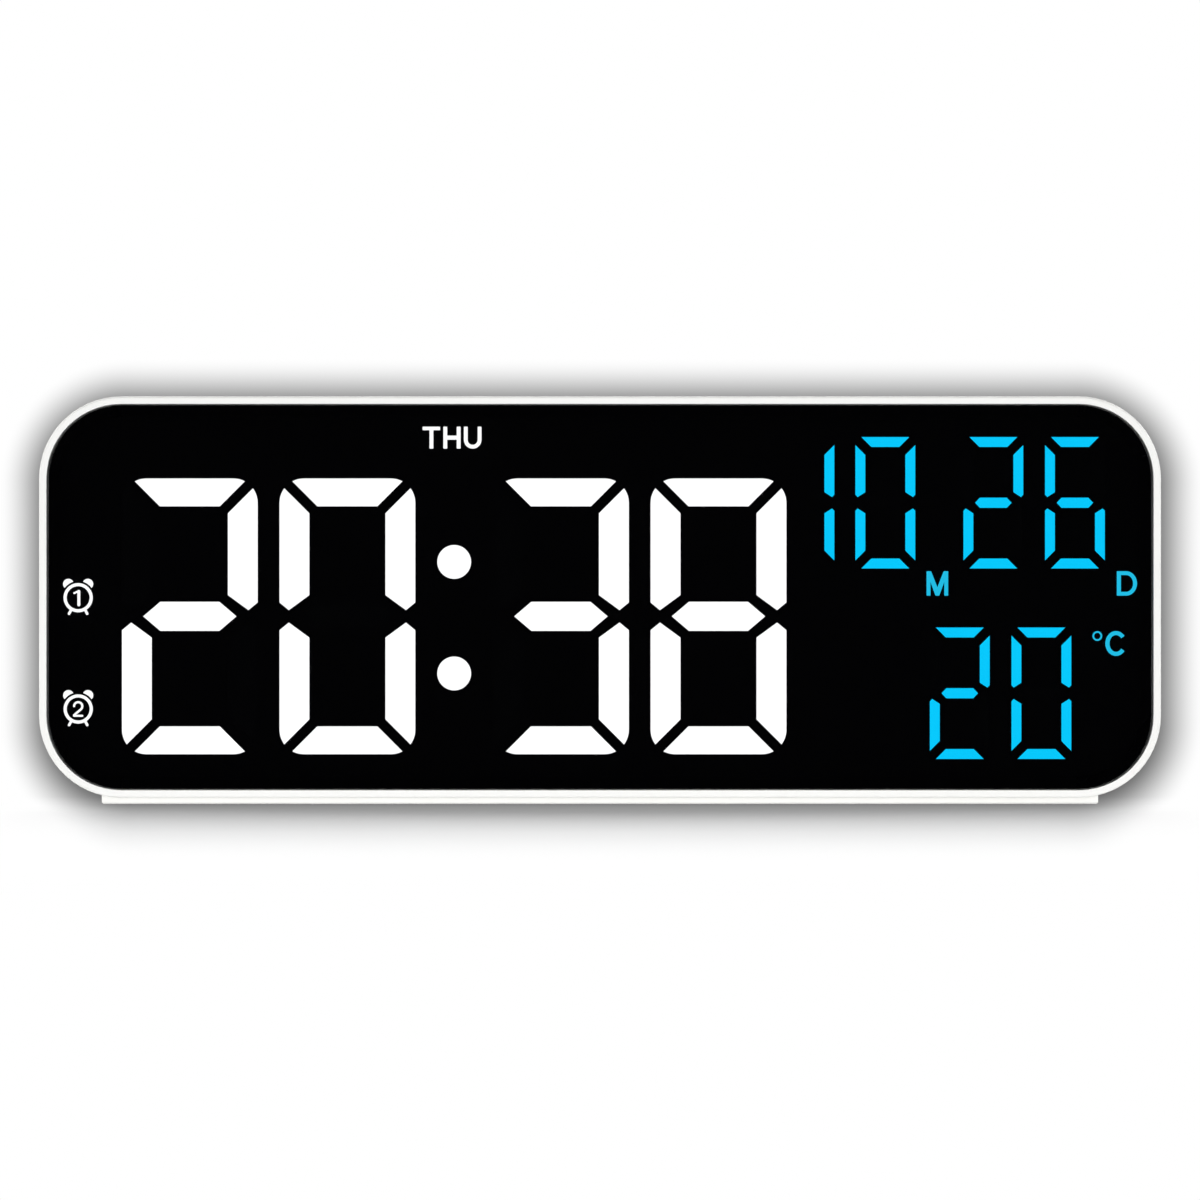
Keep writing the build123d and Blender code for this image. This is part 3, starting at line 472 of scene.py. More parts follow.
def draw_weekday(bm):
    """The capitals T, H and U, from the left."""
    base, cap, corner = 0.045, 3.275, 0.07
    left, stem_left, stem_right, right, bar = 0.045, 1.065, 1.625, 2.615, 2.765
    polygon(bm, [(left, cap), (right, cap), (right, bar), (stem_right, bar), (stem_right, base),
                 (stem_left, base), (stem_left, bar), (left, bar)])
    left, inner_left, inner_right, right = 3.105, 3.67, 5.08, 5.645
    bar_low, bar_top = 1.355, 1.955
    polygon(bm, [(left, base), (left, cap), (inner_left, cap), (inner_left, bar_top),
                 (inner_right, bar_top), (inner_right, cap), (right, cap), (right, base),
                 (inner_right, base), (inner_right, bar_low), (inner_left, bar_low), (inner_left, base)])
    inner, outer, middle, bowl = 8.17, 8.725, 7.43, 1.34
    edge = band_start(bm, (inner, cap), (outer, cap))
    edge = band_line(bm, edge, 0.0, bowl - cap)
    edge = band_arc(bm, edge, (middle, bowl), 180)
    band_line(bm, edge, 0.0, cap - bowl)
    round_corners(bm, corner)


def draw_month(bm):
    """A capital M."""
    base, cap, corner = 0.045, 3.645, 0.05
    left, inner_left, shoulder, foot, middle = 0.045, 0.615, 0.7, 1.365, 1.635
    valley, notch = 1.27, 2.08
    outside = [(left, base), (left, cap), (shoulder, cap)]
    inside = [(foot, base), (inner_left, notch), (inner_left, base)]
    polygon(bm, [*outside, (middle, valley), *mirrored(outside, middle), *mirrored(inside, middle), *inside])
    round_corners(bm, corner)


def draw_day(bm):
    """A capital D: a stem and a bowl that is narrower than a half circle."""
    base, cap, left, stem, bar, middle = 0.045, 3.645, 0.045, 0.635, 0.56, 1.52
    centre = (1.41, (base + cap) / 2)
    turn_from, turn_to = (centre[0], cap - bar), (centre[0], cap)
    end = band_arc(bm, band_start(bm, turn_from, turn_to), centre, 180)
    squeeze(bm, centre, middle, inner_share=0.83, outer_share=0.89)
    band_line(bm, end, stem - centre[0], 0.0)
    band_line(bm, band_start(bm, turn_from, turn_to), stem - centre[0], 0.0)
    polygon(bm, [(left, base), (left, cap), (stem, cap), (stem, cap - bar), (stem, base + bar),
                 (stem, base)])


def draw_celsius(bm):
    """A capital C, open at the right."""
    inner, outer, tip, sweep = 1.24, 1.83, radians(-38), 284
    edge = band_start(bm, (inner * cos(tip), inner * sin(tip)), (outer * cos(tip), outer * sin(tip)))
    band_arc(bm, edge, (0.0, 0.0), sweep, steps=48)
    squeeze(bm, (0.0, 0.0), (inner + outer) / 2, inner_share=0.78, outer_share=0.86)


def draw_degree(bm):
    """The small ring of the degree sign."""
    ring(bm, radius=0.715, width=0.24)


def draw_alarm(bm):
    """A small alarm clock: ring, two bells and two feet."""
    ring_width = 0.45
    bell_u, bell_v, bell_radius, bell_clearance = 1.44, 2.01, 0.78, 2.46 * MM
    foot_top, foot_end, foot_width = (1.0, -1.73), (1.33, -2.36), 0.38
    ring(bm, ALARM_DRAWN_RADIUS, ring_width)
    for side in (-1, 1):
        # A bell is a disc whose lower part is pushed out to lie clear of the ring.
        for vert in disc(bm, side * bell_u, bell_v, bell_radius, segments=40):
            reach = hypot(vert.co.x, vert.co.z)
            if reach < bell_clearance:
                bmesh.ops.scale(bm, verts=[vert], vec=(bell_clearance / reach, 1.0, bell_clearance / reach))
        stroke(bm, (side * foot_top[0], foot_top[1]), (side * foot_end[0], foot_end[1]), foot_width)


def draw_one(bm):
    """The number 1 inside an alarm mark."""
    stem, top, base, stem_width = 0.1, 0.93, -1.06, 0.42
    flag_from, flag_to, flag_width = (-0.57, 0.68), (0.04, 0.96), 0.28
    stroke(bm, (stem, top), (stem, base), stem_width)
    stroke(bm, flag_from, flag_to, flag_width)


def draw_two(bm):
    """The number 2 inside an alarm mark."""
    inner, outer, bowl, start, sweep = 0.45, 0.76, 0.405, radians(178), 230
    slant, tip_up = (-1.03, -0.87), 0.42
    base, base_left, base_right, base_width = -1.0, -0.62, 0.6, 0.3
    edge = band_start(bm, (inner * cos(start), bowl + inner * sin(start)),
                      (outer * cos(start), bowl + outer * sin(start)))
    edge = band_arc(bm, edge, (0.0, bowl), sweep)
    band_line(bm, edge, *slant)
    # A round end closes the upper tip.
    disc(bm, -(inner + outer) / 2, tip_up, (outer - inner) / 2, segments=16)
    stroke(bm, (base_left, base), (base_right, base), base_width)


def draw_hands(bm):
    """A plain clock face with two hands."""
    half, long, short = 0.2, 1.2, 0.9
    ring(bm, radius=1.9, width=0.42)
    polygon(bm, [(-half, long), (half, long), (half, half), (short, half), (short, -half), (-half, -half)])


def draw_up(bm):
    """A triangle that points up."""
    disc(bm, 0.0, -0.4, radius=2.2, segments=3)


def draw_down(bm):
    """The same triangle, turned to point down."""
    draw_up(bm)
    bmesh.ops.rotate(bm, verts=bm.verts[:], matrix=Matrix.Rotation(pi, 3, "Y"))


def draw_snooze(bm):
    """A large and a small letter Z."""
    bar = 0.45
    slant = 1.5 * bar
    for u, v, tall, wide in ((-2.3, -1.9, 2.8, 2.2), (0.6, 0.1, 1.9, 1.6)):
        corners = [(0, tall), (wide, tall), (wide, tall - bar), (slant, bar), (wide, bar), (wide, 0),
                   (0, 0), (0, bar), (wide - slant, tall - bar), (0, tall - bar)]
        polygon(bm, [(u + along, v + up) for along, up in corners])


# One operator for each piece or group of like pieces

class ALARMCLOCK_OT_case(bpy.types.Operator):
    """Finish the white case, its back, its door and the foot"""
    bl_idname = "alarmclock.case"
    bl_label = "Case"

    def execute(self, context):
        colours = context.scene.clock_colours
        # ABS from a satin mould: a clean even white with a soft sheen on the rounded edges.
        satin = plastic("abs_white_satin", colours.case, colours.case_shade,
                        grain_mm=0.5, relief_mm=0.015, roughness=0.36, ior=1.53)
        paint(satin, "front_housing")
        # ABS from a spark-eroded mould: a fine pebbled grain that breaks the sheen. The real grain of
        # 0.3 mm would vanish at this distance, so it is drawn at 0.8 mm.
        pebbled = plastic("abs_white_spark_eroded", colours.case, colours.case_shade,
                          grain_mm=0.8, relief_mm=0.14, roughness=0.46, ior=1.53)
        paint(pebbled, "rear_cover", "battery_door")
        # Soft elastomer: a matt white that hardly shines at all.
        rubber = plastic("elastomer_white_moulded", colours.foot, "EFEFEB",
                         grain_mm=0.6, relief_mm=0.03, roughness=0.7, ior=1.5)
        paint(rubber, "base_foot")
        return {"FINISHED"}


class ALARMCLOCK_OT_lens(bpy.types.Operator):
    """Finish the smoked lens, its tape and the black film and light box behind it"""
    bl_idname = "alarmclock.lens"
    bl_label = "Lens"

    def execute(self, context):
        paint(smoked_acrylic(), "front_lens")
        # Foam tape: open pores and no shine, so that it stays black behind the lens.
        foam = plastic("foam_tape_black", "030304", "050506",
                       grain_mm=0.4, relief_mm=0.05, roughness=0.85, ior=1.5, specular=0.1)
        paint(foam, "lens_tape")
        # Screen-printed polyester: an even black with a dull sheen.
        film = plastic("polyester_film_printed_black", "030304", "050506",
                       grain_mm=0.3, relief_mm=0.005, roughness=0.5, ior=1.64, specular=0.2)
        paint(film, "display_film")
        # White polycarbonate: bright, slightly shiny walls between the wells.
        light_box = plastic("polycarbonate_white_moulded", "F1F1EE", "E8E8E4",
                            grain_mm=0.4, relief_mm=0.01, roughness=0.4, ior=1.58)
        paint(light_box, "display_reflector")
        return {"FINISHED"}


class ALARMCLOCK_OT_digits(bpy.types.Operator):
    """Light the digits and keep the rest of the segments dark"""
    bl_idname = "alarmclock.digits"
    bl_label = "Digits"

    def execute(self, context):
        colours = context.scene.clock_colours
        lit_white = ("time_segments_lit", "colon_dots")
        lit_cyan = ("date_segments_lit", "temperature_segments_lit")
        white = lit_resin("resin_lit_white", colours.white_light, colours.white_dim, strength=4.6)
        paint(white, *lit_white)
        cyan = lit_resin("resin_lit_cyan", colours.cyan_light, colours.cyan_dim, strength=3.95)
        paint(cyan, *lit_cyan)
        # Under studio light the display's own glow doesn't show on what is round it.
        for name in (*lit_white, *lit_cyan):
            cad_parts[name].visible_diffuse = False
        # Resin with no light behind it: just paler than the film, so that it is hardly seen.
        unlit = plastic("resin_unlit_smoked", "0B0C0D", "101113",
                        grain_mm=1.0, relief_mm=0.01, roughness=0.5, ior=1.55, specular=0.2)
        paint(unlit, "time_segments_dark", "date_segments_dark", "temperature_segments_dark",
              "legend_diffusers")
        return {"FINISHED"}


class ALARMCLOCK_OT_weekday_mark(bpy.types.Operator):
    """Draw the lit weekday over the colon"""
    bl_idname = "alarmclock.weekday_mark"
    bl_label = "Weekday mark"

    def execute(self, context):
        sizes = context.scene.clock_sizes
        left_of_colon, below_lens_top = 4.69 * MM, 6.45 * MM
        bm = bmesh.new()
        draw_weekday(bm)
        scale = sizes.weekday_height / (WEEKDAY_DRAWN_HEIGHT * MM)
        place = ((colon_low.x + colon_high.x) / 2 - left_of_colon, lens_high.y + sizes.mark_gap,
                 lens_high.z - below_lens_top)
        ink = lit_resin("ink_lit_white", WHITE, "F4F6F8", strength=4.4)
        make_mark(bm, "weekday_mark", place, sizes.mark_depth, scale, ink, "clock")
        return {"FINISHED"}


class ALARMCLOCK_OT_letter_marks(bpy.types.Operator):
    """Draw the lit letters for month, day and degrees"""
    bl_idname = "alarmclock.letter_marks"
    bl_label = "Letter marks"

    def execute(self, context):
        sizes = context.scene.clock_sizes
        ink = lit_resin("ink_lit_cyan", context.scene.clock_colours.cyan_mark, "1FB9E0", strength=4.0)
        scale = sizes.letter_height / (LETTER_DRAWN_HEIGHT * MM)
        # Each mark's place in millimetres: across from the middle of the clock, and up from the floor.
        for name, draw, across, up in (("month_mark", draw_month, 48.13, 30.66),
                                       ("day_mark", draw_day, 76.2, 30.66),
                                       ("celsius_mark", draw_celsius, 76.12, 23.65),
                                       ("degree_mark", draw_degree, 73.36, 24.75)):
            bm = bmesh.new()
            draw(bm)
            place = (across * MM, lens_high.y + sizes.mark_gap, up * MM)
            make_mark(bm, name, place, sizes.mark_depth, scale, ink, "clock")
        return {"FINISHED"}


class ALARMCLOCK_OT_alarm_marks(bpy.types.Operator):
    """Draw the two lit alarm marks with their numbers"""
    bl_idname = "alarmclock.alarm_marks"
    bl_label = "Alarm marks"

    def execute(self, context):
        sizes = context.scene.clock_sizes
        from_lens_end = 4.32 * MM
        ink = lit_resin("ink_lit_alarm_white", WHITE, "F4F6F8", strength=4.4)
        scale = sizes.alarm_radius / (ALARM_DRAWN_RADIUS * MM)
        # The height of each mark's middle over the floor, in millimetres.
        for name, draw_number, up in (("alarm_mark_one", draw_one, 30.4),
                                      ("alarm_mark_two", draw_two, 13.98)):
            bm = bmesh.new()
            draw_alarm(bm)
            draw_number(bm)
            place = (lens_low.x + from_lens_end, lens_high.y + sizes.mark_gap, up * MM)
            make_mark(bm, name, place, sizes.mark_depth, scale, ink, "clock")
        return {"FINISHED"}


class ALARMCLOCK_OT_keys(bpy.types.Operator):
    """Finish the keys and print a plain symbol on each"""
    bl_idname = "alarmclock.keys"
    bl_label = "Keys"

    def execute(self, context):
        sizes = context.scene.clock_sizes
        colours = context.scene.clock_colours
        # Satin grey caps, flat dark pad print, and plungers of slippery black acetal.
        cap = plastic("abs_grey_satin", colours.key, "C3C6C8",
                      grain_mm=0.4, relief_mm=0.01, roughness=0.42, ior=1.53)
        ink = plastic("pad_print_dark", colours.key_print, "2C3033",
                      grain_mm=0.2, relief_mm=0.003, roughness=0.55, ior=1.5)
        plunger = plastic("acetal_black_moulded", "1A1B1C", "202122",
                          grain_mm=0.4, relief_mm=0.01, roughness=0.35, ior=1.48)
        scale = sizes.symbol_height / (SYMBOL_DRAWN_HEIGHT * MM)
        for name, draw in (("set", draw_hands), ("alarm", draw_alarm), ("up", draw_up), ("down", draw_down),
                           ("snooze", draw_snooze)):
            bm = bmesh.new()
            draw(bm)
            low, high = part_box(name + "_key")
            paint(cap, name + "_key")
            paint(plunger, name + "_plunger")
            place = ((low.x + high.x) / 2, high.y, (low.z + high.z) / 2)
            make_mark(bm, name + "_symbol", place, sizes.print_depth, scale, ink,
                      name + "_button", from_behind=True)
        return {"FINISHED"}


class ALARMCLOCK_OT_boards(bpy.types.Operator):
    """Finish the boards and what they carry"""
    bl_idname = "alarmclock.boards"
    bl_label = "Boards"

    def execute(self, context):
        paint(solder_mask(context.scene.clock_colours.board), "display_board", "control_board")
        # Moulded epoxy: dull black with a fine grain.
        epoxy = plastic("epoxy_black_moulded", "17181A", "1D1E20",
                        grain_mm=0.25, relief_mm=0.01, roughness=0.55, ior=1.55)
        paint(epoxy, "driver_chip", "clock_chip", "key_switches", "buzzer", "temperature_sensor")
        # Phosphor cast over the chips: a waxy pale yellow.
        phosphor = plastic("phosphor_chip_cast", "EFE6B8", "E6DA9F",
                           grain_mm=0.5, relief_mm=0.01, roughness=0.4, ior=1.41)
        paint(phosphor, "light_chips")
        # Extruded ribbon: dull grey wires side by side, so its stripes are turned to run along it.
        ribbon = striped_plastic("ribbon_grey_extruded", "9EA3A6", "84898C", turn=(0.0, radians(90), 0.0),
                                 pitch_mm=1.0, roughness=0.45)
        paint(ribbon, "board_ribbon")
        # Moulded tongue: black plastic between gold contacts.
        tongue = striped_plastic("socket_tongue_moulded", "111213", "D8B25A", turn=(0.0, 0.0, 0.0),
                                 pitch_mm=0.5, roughness=0.35, bare_metal=True)
        paint(tongue, "usb_tongue")
        return {"FINISHED"}


class ALARMCLOCK_OT_metal(bpy.types.Operator):
    """Finish the screws, the socket, the contacts and the crystal"""
    bl_idname = "alarmclock.metal"
    bl_label = "Metal"

    def execute(self, context):
        steel = plated_steel("steel_nickel_plated", "CFCEC9", brush_mm=0.3, roughness=0.3)
        paint(steel, "case_screws", "control_screws", "usb_shell", "battery_contacts", "crystal")
        return {"FINISHED"}


class ALARMCLOCK_OT_cells(bpy.types.Operator):
    """Finish the cells and their leads"""
    bl_idname = "alarmclock.cells"
    bl_label = "Cells"

    def execute(self, context):
        paint(cell_sleeve(context.scene.clock_colours), "battery_cells")
        # Extruded PVC: smooth, with the soft shine of new wire.
        for name, lead, colour, shade in (("pvc_red_extruded", "plus_lead", "B3201E", "A51B1A"),
                                          ("pvc_black_extruded", "minus_lead", "161617", "1C1C1D")):
            paint(plastic(name, colour, shade, grain_mm=0.5, relief_mm=0.01, roughness=0.4, ior=1.54), lead)
        return {"FINISHED"}


class ALARMCLOCK_OT_springs(bpy.types.Operator):
    """Wind the three contact springs"""
    bl_idname = "alarmclock.springs"
    bl_label = "Contact springs"

    def execute(self, context):
        sizes = context.scene.clock_sizes
        wire_sides, steps_a_turn = 12, 40
        travel = sizes.spring_length - 2 * sizes.spring_wire
        steps = steps_a_turn * sizes.spring_turns
        bm = bmesh.new()
        for i, side in enumerate((1, -1, 1)):
            centre = Vector((cells_high.x if side > 0 else cells_low.x, cells_middle.y,
                             cells_low.z + cell_radius + i * cell_step))
            old = set(bm.verts)
            start = Matrix.Translation((0.0, sizes.spring_base, 0.0))
            profile = bmesh.ops.create_circle(bm, radius=sizes.spring_wire, segments=wire_sides,
                                              matrix=start)["verts"]
            edges = {edge for vert in profile for edge in vert.link_edges}
            bmesh.ops.spin(bm, geom=[*profile, *edges], cent=(0.0, 0.0, 0.0), axis=(1.0, 0.0, 0.0),
                           dvec=(travel / steps, 0.0, 0.0), angle=2 * pi * sizes.spring_turns, steps=steps)
            # The wound coil is drawn in towards the cell, turned to its side and put in place.
            for vert in [vert for vert in bm.verts if vert not in old]:
                share = min(max(vert.co.x / travel, 0.0), 1.0)
                reach = hypot(vert.co.y, vert.co.z)
                inwards = 1 - (sizes.spring_base - sizes.spring_top) * share / reach
                vert.co = Vector((-side * (sizes.spring_wire + vert.co.x), vert.co.y * inwards,
                                  vert.co.z * inwards)) + centre
        bmesh.ops.holes_fill(bm, edges=[edge for edge in bm.edges if edge.is_boundary], sides=0)
        bmesh.ops.recalc_face_normals(bm, faces=bm.faces[:])
        for face in bm.faces:
            face.smooth = len(face.verts) == 4
        wire = plated_steel("spring_wire_plated", "D2D1CC", brush_mm=0.2, roughness=0.26)
        springs = make_piece(bm, "contact_springs", wire, "clock")
        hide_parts("battery_springs")
        return {"FINISHED"}


# Stage

def flat_sheet(name, low, high, material, hidden_from):
    """A level or upright rectangle of the stage between two corners, hidden from some kinds of rays."""
    bm = bmesh.new()
    corners = (low, (high[0], *low[1:]), high, (low[0], *high[1:]))
    bm.faces.new([bm.verts.new(corner) for corner in corners])
    sheet = add_object(bm, name, material)
    for rays in hidden_from:
        setattr(sheet, "visible_" + rays, False)


def soft_lamp(name, place, target, wide, high, power, in_gloss=True):
    """A rectangular soft lamp aimed at a point."""
    data = bpy.data.lights.new(name, "AREA")
    data.shape = "RECTANGLE"
    data.size, data.size_y, data.energy = wide, high, power
    lamp = bpy.data.objects.new(name, data)
    lamp.location = place
    lamp.rotation_euler = (Vector(target) - Vector(place)).to_track_quat("-Z", "Y").to_euler()
    lamp.visible_camera = False
    lamp.visible_glossy = in_gloss
    bpy.context.scene.collection.objects.link(lamp)


def box_distance(tree, place, half):
    """Distance from a box round the origin, given by its half sizes."""
    folded = add_node(tree, "ShaderNodeVectorMath", {0: place}, operation="ABSOLUTE")
    beyond = add_node(tree, "ShaderNodeVectorMath", {0: folded, 1: half}, operation="SUBTRACT")
    outside = add_node(tree, "ShaderNodeVectorMath", {0: beyond, 1: (0.0, 0.0, 0.0)}, operation="MAXIMUM")
    return add_node(tree, "ShaderNodeVectorMath", {0: outside}, operation="LENGTH").outputs["Value"]


def painted_halo_shade(tree, place, stage):
    """Painted shade by the distance from a rounded outline: dark along it and plain white further off."""
    half = (cad_high - cad_low) / 2
    inset = stage.halo_corner - stage.halo_margin
    dark_inside = 0.4 * stage.halo_width
    away = box_distance(tree, place, (half.x - inset, 0.0, half.z - inset))
    shade = add_node(tree, "ShaderNodeMapRange", {
        "Value": away, "From Min": stage.halo_corner - dark_inside,
        "From Max": stage.halo_corner + stage.halo_width, "To Min": stage.halo_dark},
        interpolation_type="SMOOTHSTEP")
    # The shadow round the clock is painted here as a dimmer glow, not cast by the lamps.
    return add_node(tree, "ShaderNodeEmission", {"Color": srgb(WHITE), "Strength": shade})


def one_sided(tree, shader):
    """Shows paper from its face alone, so that the clock can be looked at from behind it."""
    behind = add_node(tree, "ShaderNodeNewGeometry").outputs["Backfacing"]
    clear = add_node(tree, "ShaderNodeBsdfTransparent")
    both = add_node(tree, "ShaderNodeMixShader", {0: behind, 1: shader, 2: clear})
    add_node(tree, "ShaderNodeOutputMaterial", {"Surface": both})


def lamp_shadow_and_painted_contact_shade(tree, place, stage):
    """Matt white paper that takes the lamps' shadow of the clock near it, with painted contact shade from
    ambient occlusion in its colour, and fades to plain white further off.
    """
    # The near part is a rounded box that is drawn out in depth, its middle in front of the clock.
    in_from_ends, middle_y, half_depth, depth_share = 18 * MM, -45 * MM, 85 * MM, 0.3
    fade_length, contact_reach = 4 * stage.halo_width, 15 * MM
    near = add_node(tree, "ShaderNodeMapping", {
        "Vector": place, "Location": (0.0, -depth_share * middle_y, 0.0), "Scale": (1.0, depth_share, 0.0)})
    away = box_distance(tree, near, (cad_high.x - in_from_ends, depth_share * half_depth, 0.0))
    fade = add_node(tree, "ShaderNodeMapRange", {
        "Value": away, "From Max": fade_length}, interpolation_type="SMOOTHSTEP")
    contact = add_node(tree, "ShaderNodeAmbientOcclusion", {"Distance": contact_reach}, samples=8)
    # Ambient occlusion darkens the paper's colour near the clock: painted contact shade on top of the lamps'
    # real shadow. Paper a little over white reads as white under these lamps.
    tone = add_node(tree, "ShaderNodeMapRange", {
        "Value": contact.outputs["AO"], "From Min": 0.1, "From Max": 0.9, "To Max": 1.45})
    paper = add_node(tree, "ShaderNodeBsdfDiffuse", {"Color": tone})
    white = add_node(tree, "ShaderNodeEmission", {"Color": srgb(WHITE)})
    return add_node(tree, "ShaderNodeMixShader", {0: fade, 1: paper, 2: white})


def floor_paper(stage, wall_y, foot):
    """Matt white paper with the clock's shadow from the lamps. The shade painted on the wall runs on over it
    as painted shade, stretched towards the front."""
    front_ramp, wall_ramp_start, wall_ramp_end = 30 * MM, 2 * MM, 14 * MM
    front = cad_low.y - stage.halo_reach
    material, tree, place = start_material("floor_paper_matt")
    split = add_node(tree, "ShaderNodeSeparateXYZ", {"Vector": place}).outputs
    width = add_node(tree, "ShaderNodeMapRange", {
        "Value": split["Y"], "From Min": wall_y, "From Max": front,
        "To Min": 1 / stage.halo_spread, "To Max": 1 / stage.halo_flare})
    across = add_node(tree, "ShaderNodeMath", {
        0: split["X"], 1: width, 2: -stage.halo_shift}, operation="MULTIPLY_ADD")
    drop = add_node(tree, "ShaderNodeMapRange", {
        "Value": split["Y"], "From Min": wall_y, "From Max": front,
        "To Min": foot, "To Max": foot - stage.halo_drop})
    laid = add_node(tree, "ShaderNodeCombineXYZ", {"X": across, "Z": drop})
    # All of the painted shade beside the clock, part of it in front, and none behind the wall.
    beside = add_node(tree, "ShaderNodeMapRange", {
        "Value": split["Y"], "From Min": cad_low.y - front_ramp, "From Max": cad_low.y,
        "To Min": stage.halo_front, "To Max": 1.0}, interpolation_type="SMOOTHSTEP")
    ahead = add_node(tree, "ShaderNodeMapRange", {
        "Value": split["Y"], "From Min": wall_y + wall_ramp_start, "From Max": wall_y + wall_ramp_end,
        "To Min": 1.0, "To Max": 0.0}, interpolation_type="SMOOTHSTEP")
    share = add_node(tree, "ShaderNodeMath", {0: beside, 1: ahead}, operation="MULTIPLY")
    shaded = add_node(tree, "ShaderNodeMixShader", {
        0: share, 1: lamp_shadow_and_painted_contact_shade(tree, place, stage), 2: painted_halo_shade(tree, laid, stage)})
    one_sided(tree, shaded)
    return material


def wall_paper(stage, foot):
    """White wall with a soft shade painted round the clock."""
    material, tree, place = start_material("wall_paper_matt")
    centred = add_node(tree, "ShaderNodeMapping", {
        "Vector": place, "Location": (-stage.halo_shift, 0.0, foot),
        "Scale": (1 / stage.halo_spread, 0.0, 1 / stage.halo_spread)})
    one_sided(tree, painted_halo_shade(tree, centred, stage))
    return material


def black_card():
    """Black card, paler towards its edges, that keeps the lens black in the picture."""
    black_radius, white_radius = 0.5, 2.4
    material, tree, place = start_material("card_black")
    centred = add_node(tree, "ShaderNodeMapping", {"Vector": place, "Scale": (1.0, 0.0, 1.0)})
    away = add_node(tree, "ShaderNodeVectorMath", {0: centred}, operation="LENGTH")
    pale = add_node(tree, "ShaderNodeMapRange", {
        "Value": away.outputs["Value"], "From Min": black_radius, "From Max": white_radius},
        interpolation_type="SMOOTHSTEP")
    glow = add_node(tree, "ShaderNodeEmission", {"Color": srgb(WHITE), "Strength": pale})
    add_node(tree, "ShaderNodeOutputMaterial", {"Surface": glow})
    return material


def hang_papers(stage):
    """Lays the floor, puts up the wall and hangs the card behind the camera."""
    reach, card_half, card_y = 4.0, 2.5, -1.3
    wall_y = cad_high.y + stage.wall_gap
    # Height of the wall's foot, counted from the middle of the shade in the shade's own scale.
    foot = -stage.halo_height / stage.halo_spread
    flat_sheet("floor", (-reach, -reach, 0.0), (reach, reach, 0.0), floor_paper(stage, wall_y, foot),
               ("diffuse", "glossy", "shadow"))
    flat_sheet("wall", (-reach, wall_y, 0.0), (reach, wall_y, reach), wall_paper(stage, foot),
               ("diffuse", "glossy", "transmission", "shadow"))
    flat_sheet("card", (-card_half, card_y, -card_half), (card_half, card_y, card_half), black_card(),
               ("camera", "diffuse", "transmission", "shadow"))


def hang_lamps(stage):
    """Puts up the soft lamps. Those that would show as a patch on the lens or the case have no gloss."""
    middle = (cad_low + cad_high) / 2
    soft_lamp("key_lamp", place=(0.0, -1.0, 0.03), target=middle, wide=0.6, high=0.4,
              power=stage.key_power, in_gloss=False)
    soft_lamp("bounce_lamp", place=(0.0, -0.45, -0.4), target=middle, wide=0.6, high=0.3,
              power=stage.bounce_power, in_gloss=False)
    soft_lamp("top_lamp", place=(0.0, 0.68, 0.66), target=(0.0, -0.05, 0.0), wide=1.2, high=0.8,
              power=stage.top_power)
    for side in (-1, 1):
        soft_lamp("side_lamp", place=(side * 0.95, 0.5, 0.6), target=middle, wide=0.5, high=0.5,
                  power=stage.side_power)
        soft_lamp("end_lamp", place=(side * 1.1, 0.0, 0.1), target=middle, wide=0.4, high=0.2,
                  power=stage.end_power, in_gloss=False)
    soft_lamp("back_lamp", place=(0.0, 1.2, 0.25), target=middle, wide=0.8, high=0.4,
              power=stage.back_power)


def white_room(stage):
    """A room that is white where it is seen or mirrored, and lights the clock only a little."""
    world = bpy.data.worlds.new("studio")
    world.use_nodes = True
    tree = world.node_tree
    tree.nodes.clear()
    path = add_node(tree, "ShaderNodeLightPath").outputs
    seen = add_node(tree, "ShaderNodeMath", {
        0: path["Is Camera Ray"], 1: path["Is Glossy Ray"]}, operation="MAXIMUM")
    clear = add_node(tree, "ShaderNodeMath", {0: seen, 1: path["Is Transmission Ray"]}, operation="MAXIMUM")
    ambient = add_node(tree, "ShaderNodeBackground", {"Color": srgb(WHITE), "Strength": stage.ambient})
    white = add_node(tree, "ShaderNodeBackground", {"Color": srgb(WHITE)})
    both = add_node(tree, "ShaderNodeMixShader", {0: clear, 1: ambient, 2: white})
    add_node(tree, "ShaderNodeOutputWorld", {"Surface": both})
    return world


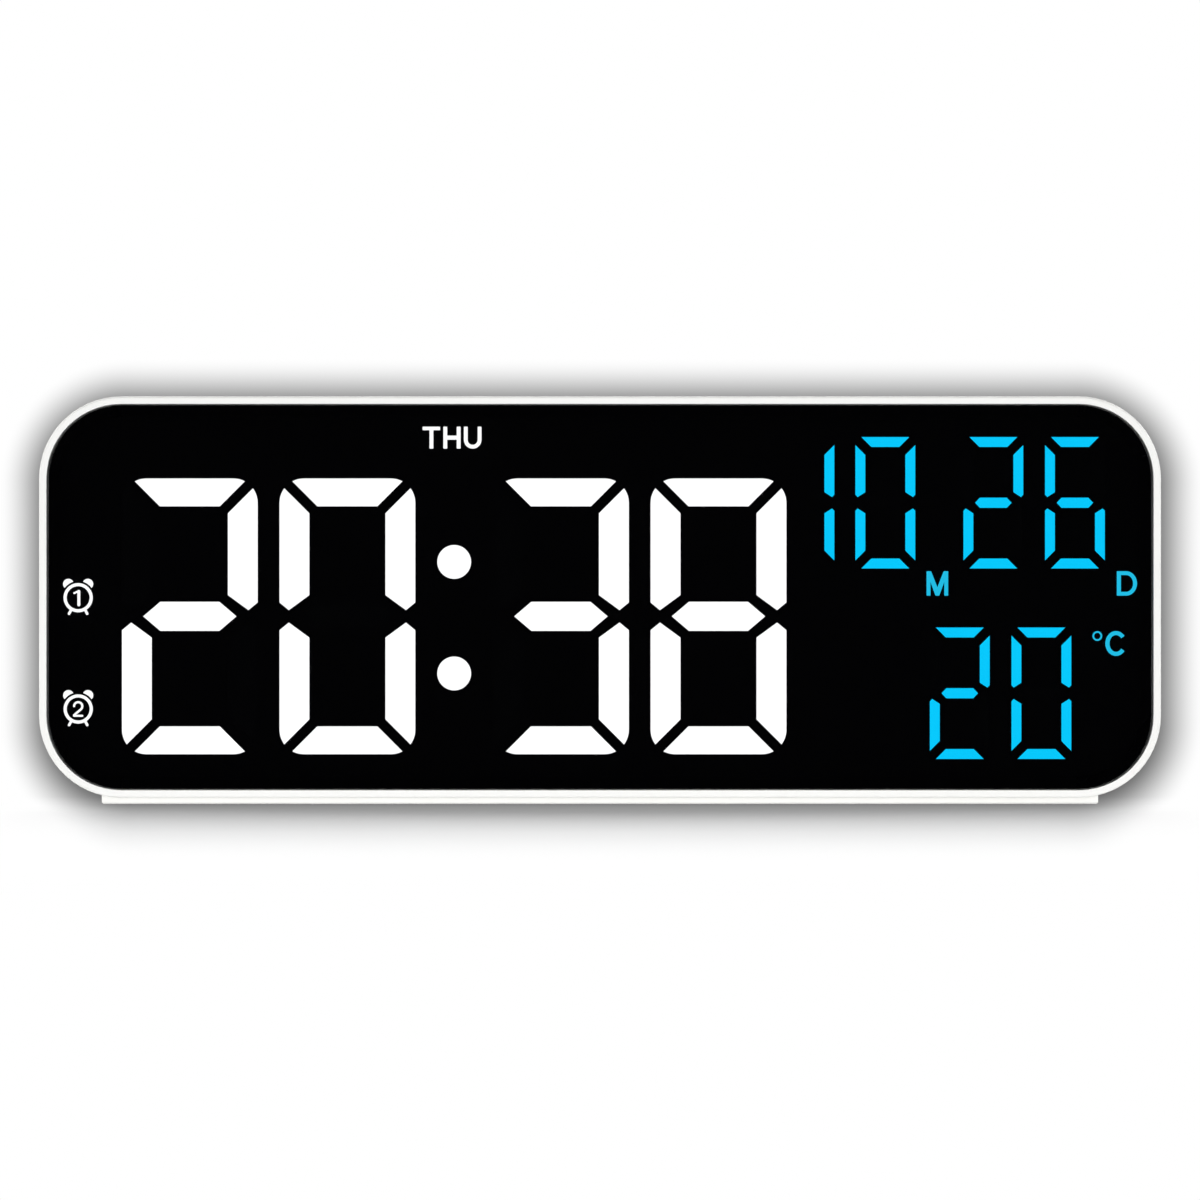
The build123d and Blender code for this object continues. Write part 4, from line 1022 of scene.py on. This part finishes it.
def front_camera(stage):
    """A camera square on to the front of the clock."""
    data = bpy.data.cameras.new("camera")
    data.sensor_width = 36.0
    data.lens = data.sensor_width * stage.camera_distance / stage.frame_width
    camera = bpy.data.objects.new("camera", data)
    camera.location = (0.0, cad_low.y - stage.camera_distance, stage.camera_height)
    camera.rotation_euler = (radians(90), 0.0, 0.0)
    bpy.context.scene.collection.objects.link(camera)
    return camera


class ALARMCLOCK_OT_stage(bpy.types.Operator):
    """Set up the floor, the wall, the lamps and the camera"""
    bl_idname = "alarmclock.stage"
    bl_label = "Stage"

    def execute(self, context):
        scene = context.scene
        scene.view_settings.view_transform = "Standard"
        hang_papers(scene.clock_stage)
        hang_lamps(scene.clock_stage)
        scene.world = white_room(scene.clock_stage)
        scene.camera = front_camera(scene.clock_stage)
        return {"FINISHED"}


STEPS = (ALARMCLOCK_OT_case, ALARMCLOCK_OT_lens, ALARMCLOCK_OT_digits, ALARMCLOCK_OT_weekday_mark,
         ALARMCLOCK_OT_letter_marks, ALARMCLOCK_OT_alarm_marks, ALARMCLOCK_OT_keys, ALARMCLOCK_OT_boards,
         ALARMCLOCK_OT_metal, ALARMCLOCK_OT_cells, ALARMCLOCK_OT_springs, ALARMCLOCK_OT_stage)
SETTINGS = (("clock_colours", ClockColours), ("clock_sizes", ClockSizes), ("clock_stage", ClockStage))


class ALARMCLOCK_PT_panel(bpy.types.Panel):
    """Lists the steps and the settings"""
    bl_idname = "ALARMCLOCK_PT_panel"
    bl_label = "Alarm clock"
    bl_space_type = "VIEW_3D"
    bl_region_type = "UI"
    bl_category = "Clock"

    def draw(self, context):
        for step in STEPS:
            self.layout.operator(step.bl_idname)
        for name, group in SETTINGS:
            box = self.layout.box()
            for setting in group.__annotations__:
                box.prop(getattr(context.scene, name), setting)


def register():
    for name, group in SETTINGS:
        bpy.utils.register_class(group)
        setattr(bpy.types.Scene, name, bpy.props.PointerProperty(type=group))
    for step in (*STEPS, ALARMCLOCK_PT_panel):
        bpy.utils.register_class(step)


def unregister():
    for step in (ALARMCLOCK_PT_panel, *reversed(STEPS)):
        bpy.utils.unregister_class(step)
    for name, group in reversed(SETTINGS):
        delattr(bpy.types.Scene, name)
        bpy.utils.unregister_class(group)


def main():
    register()
    for step in STEPS:
        getattr(bpy.ops.alarmclock, step.bl_idname.split(".")[1])()


if __name__ == "__main__":
    main()
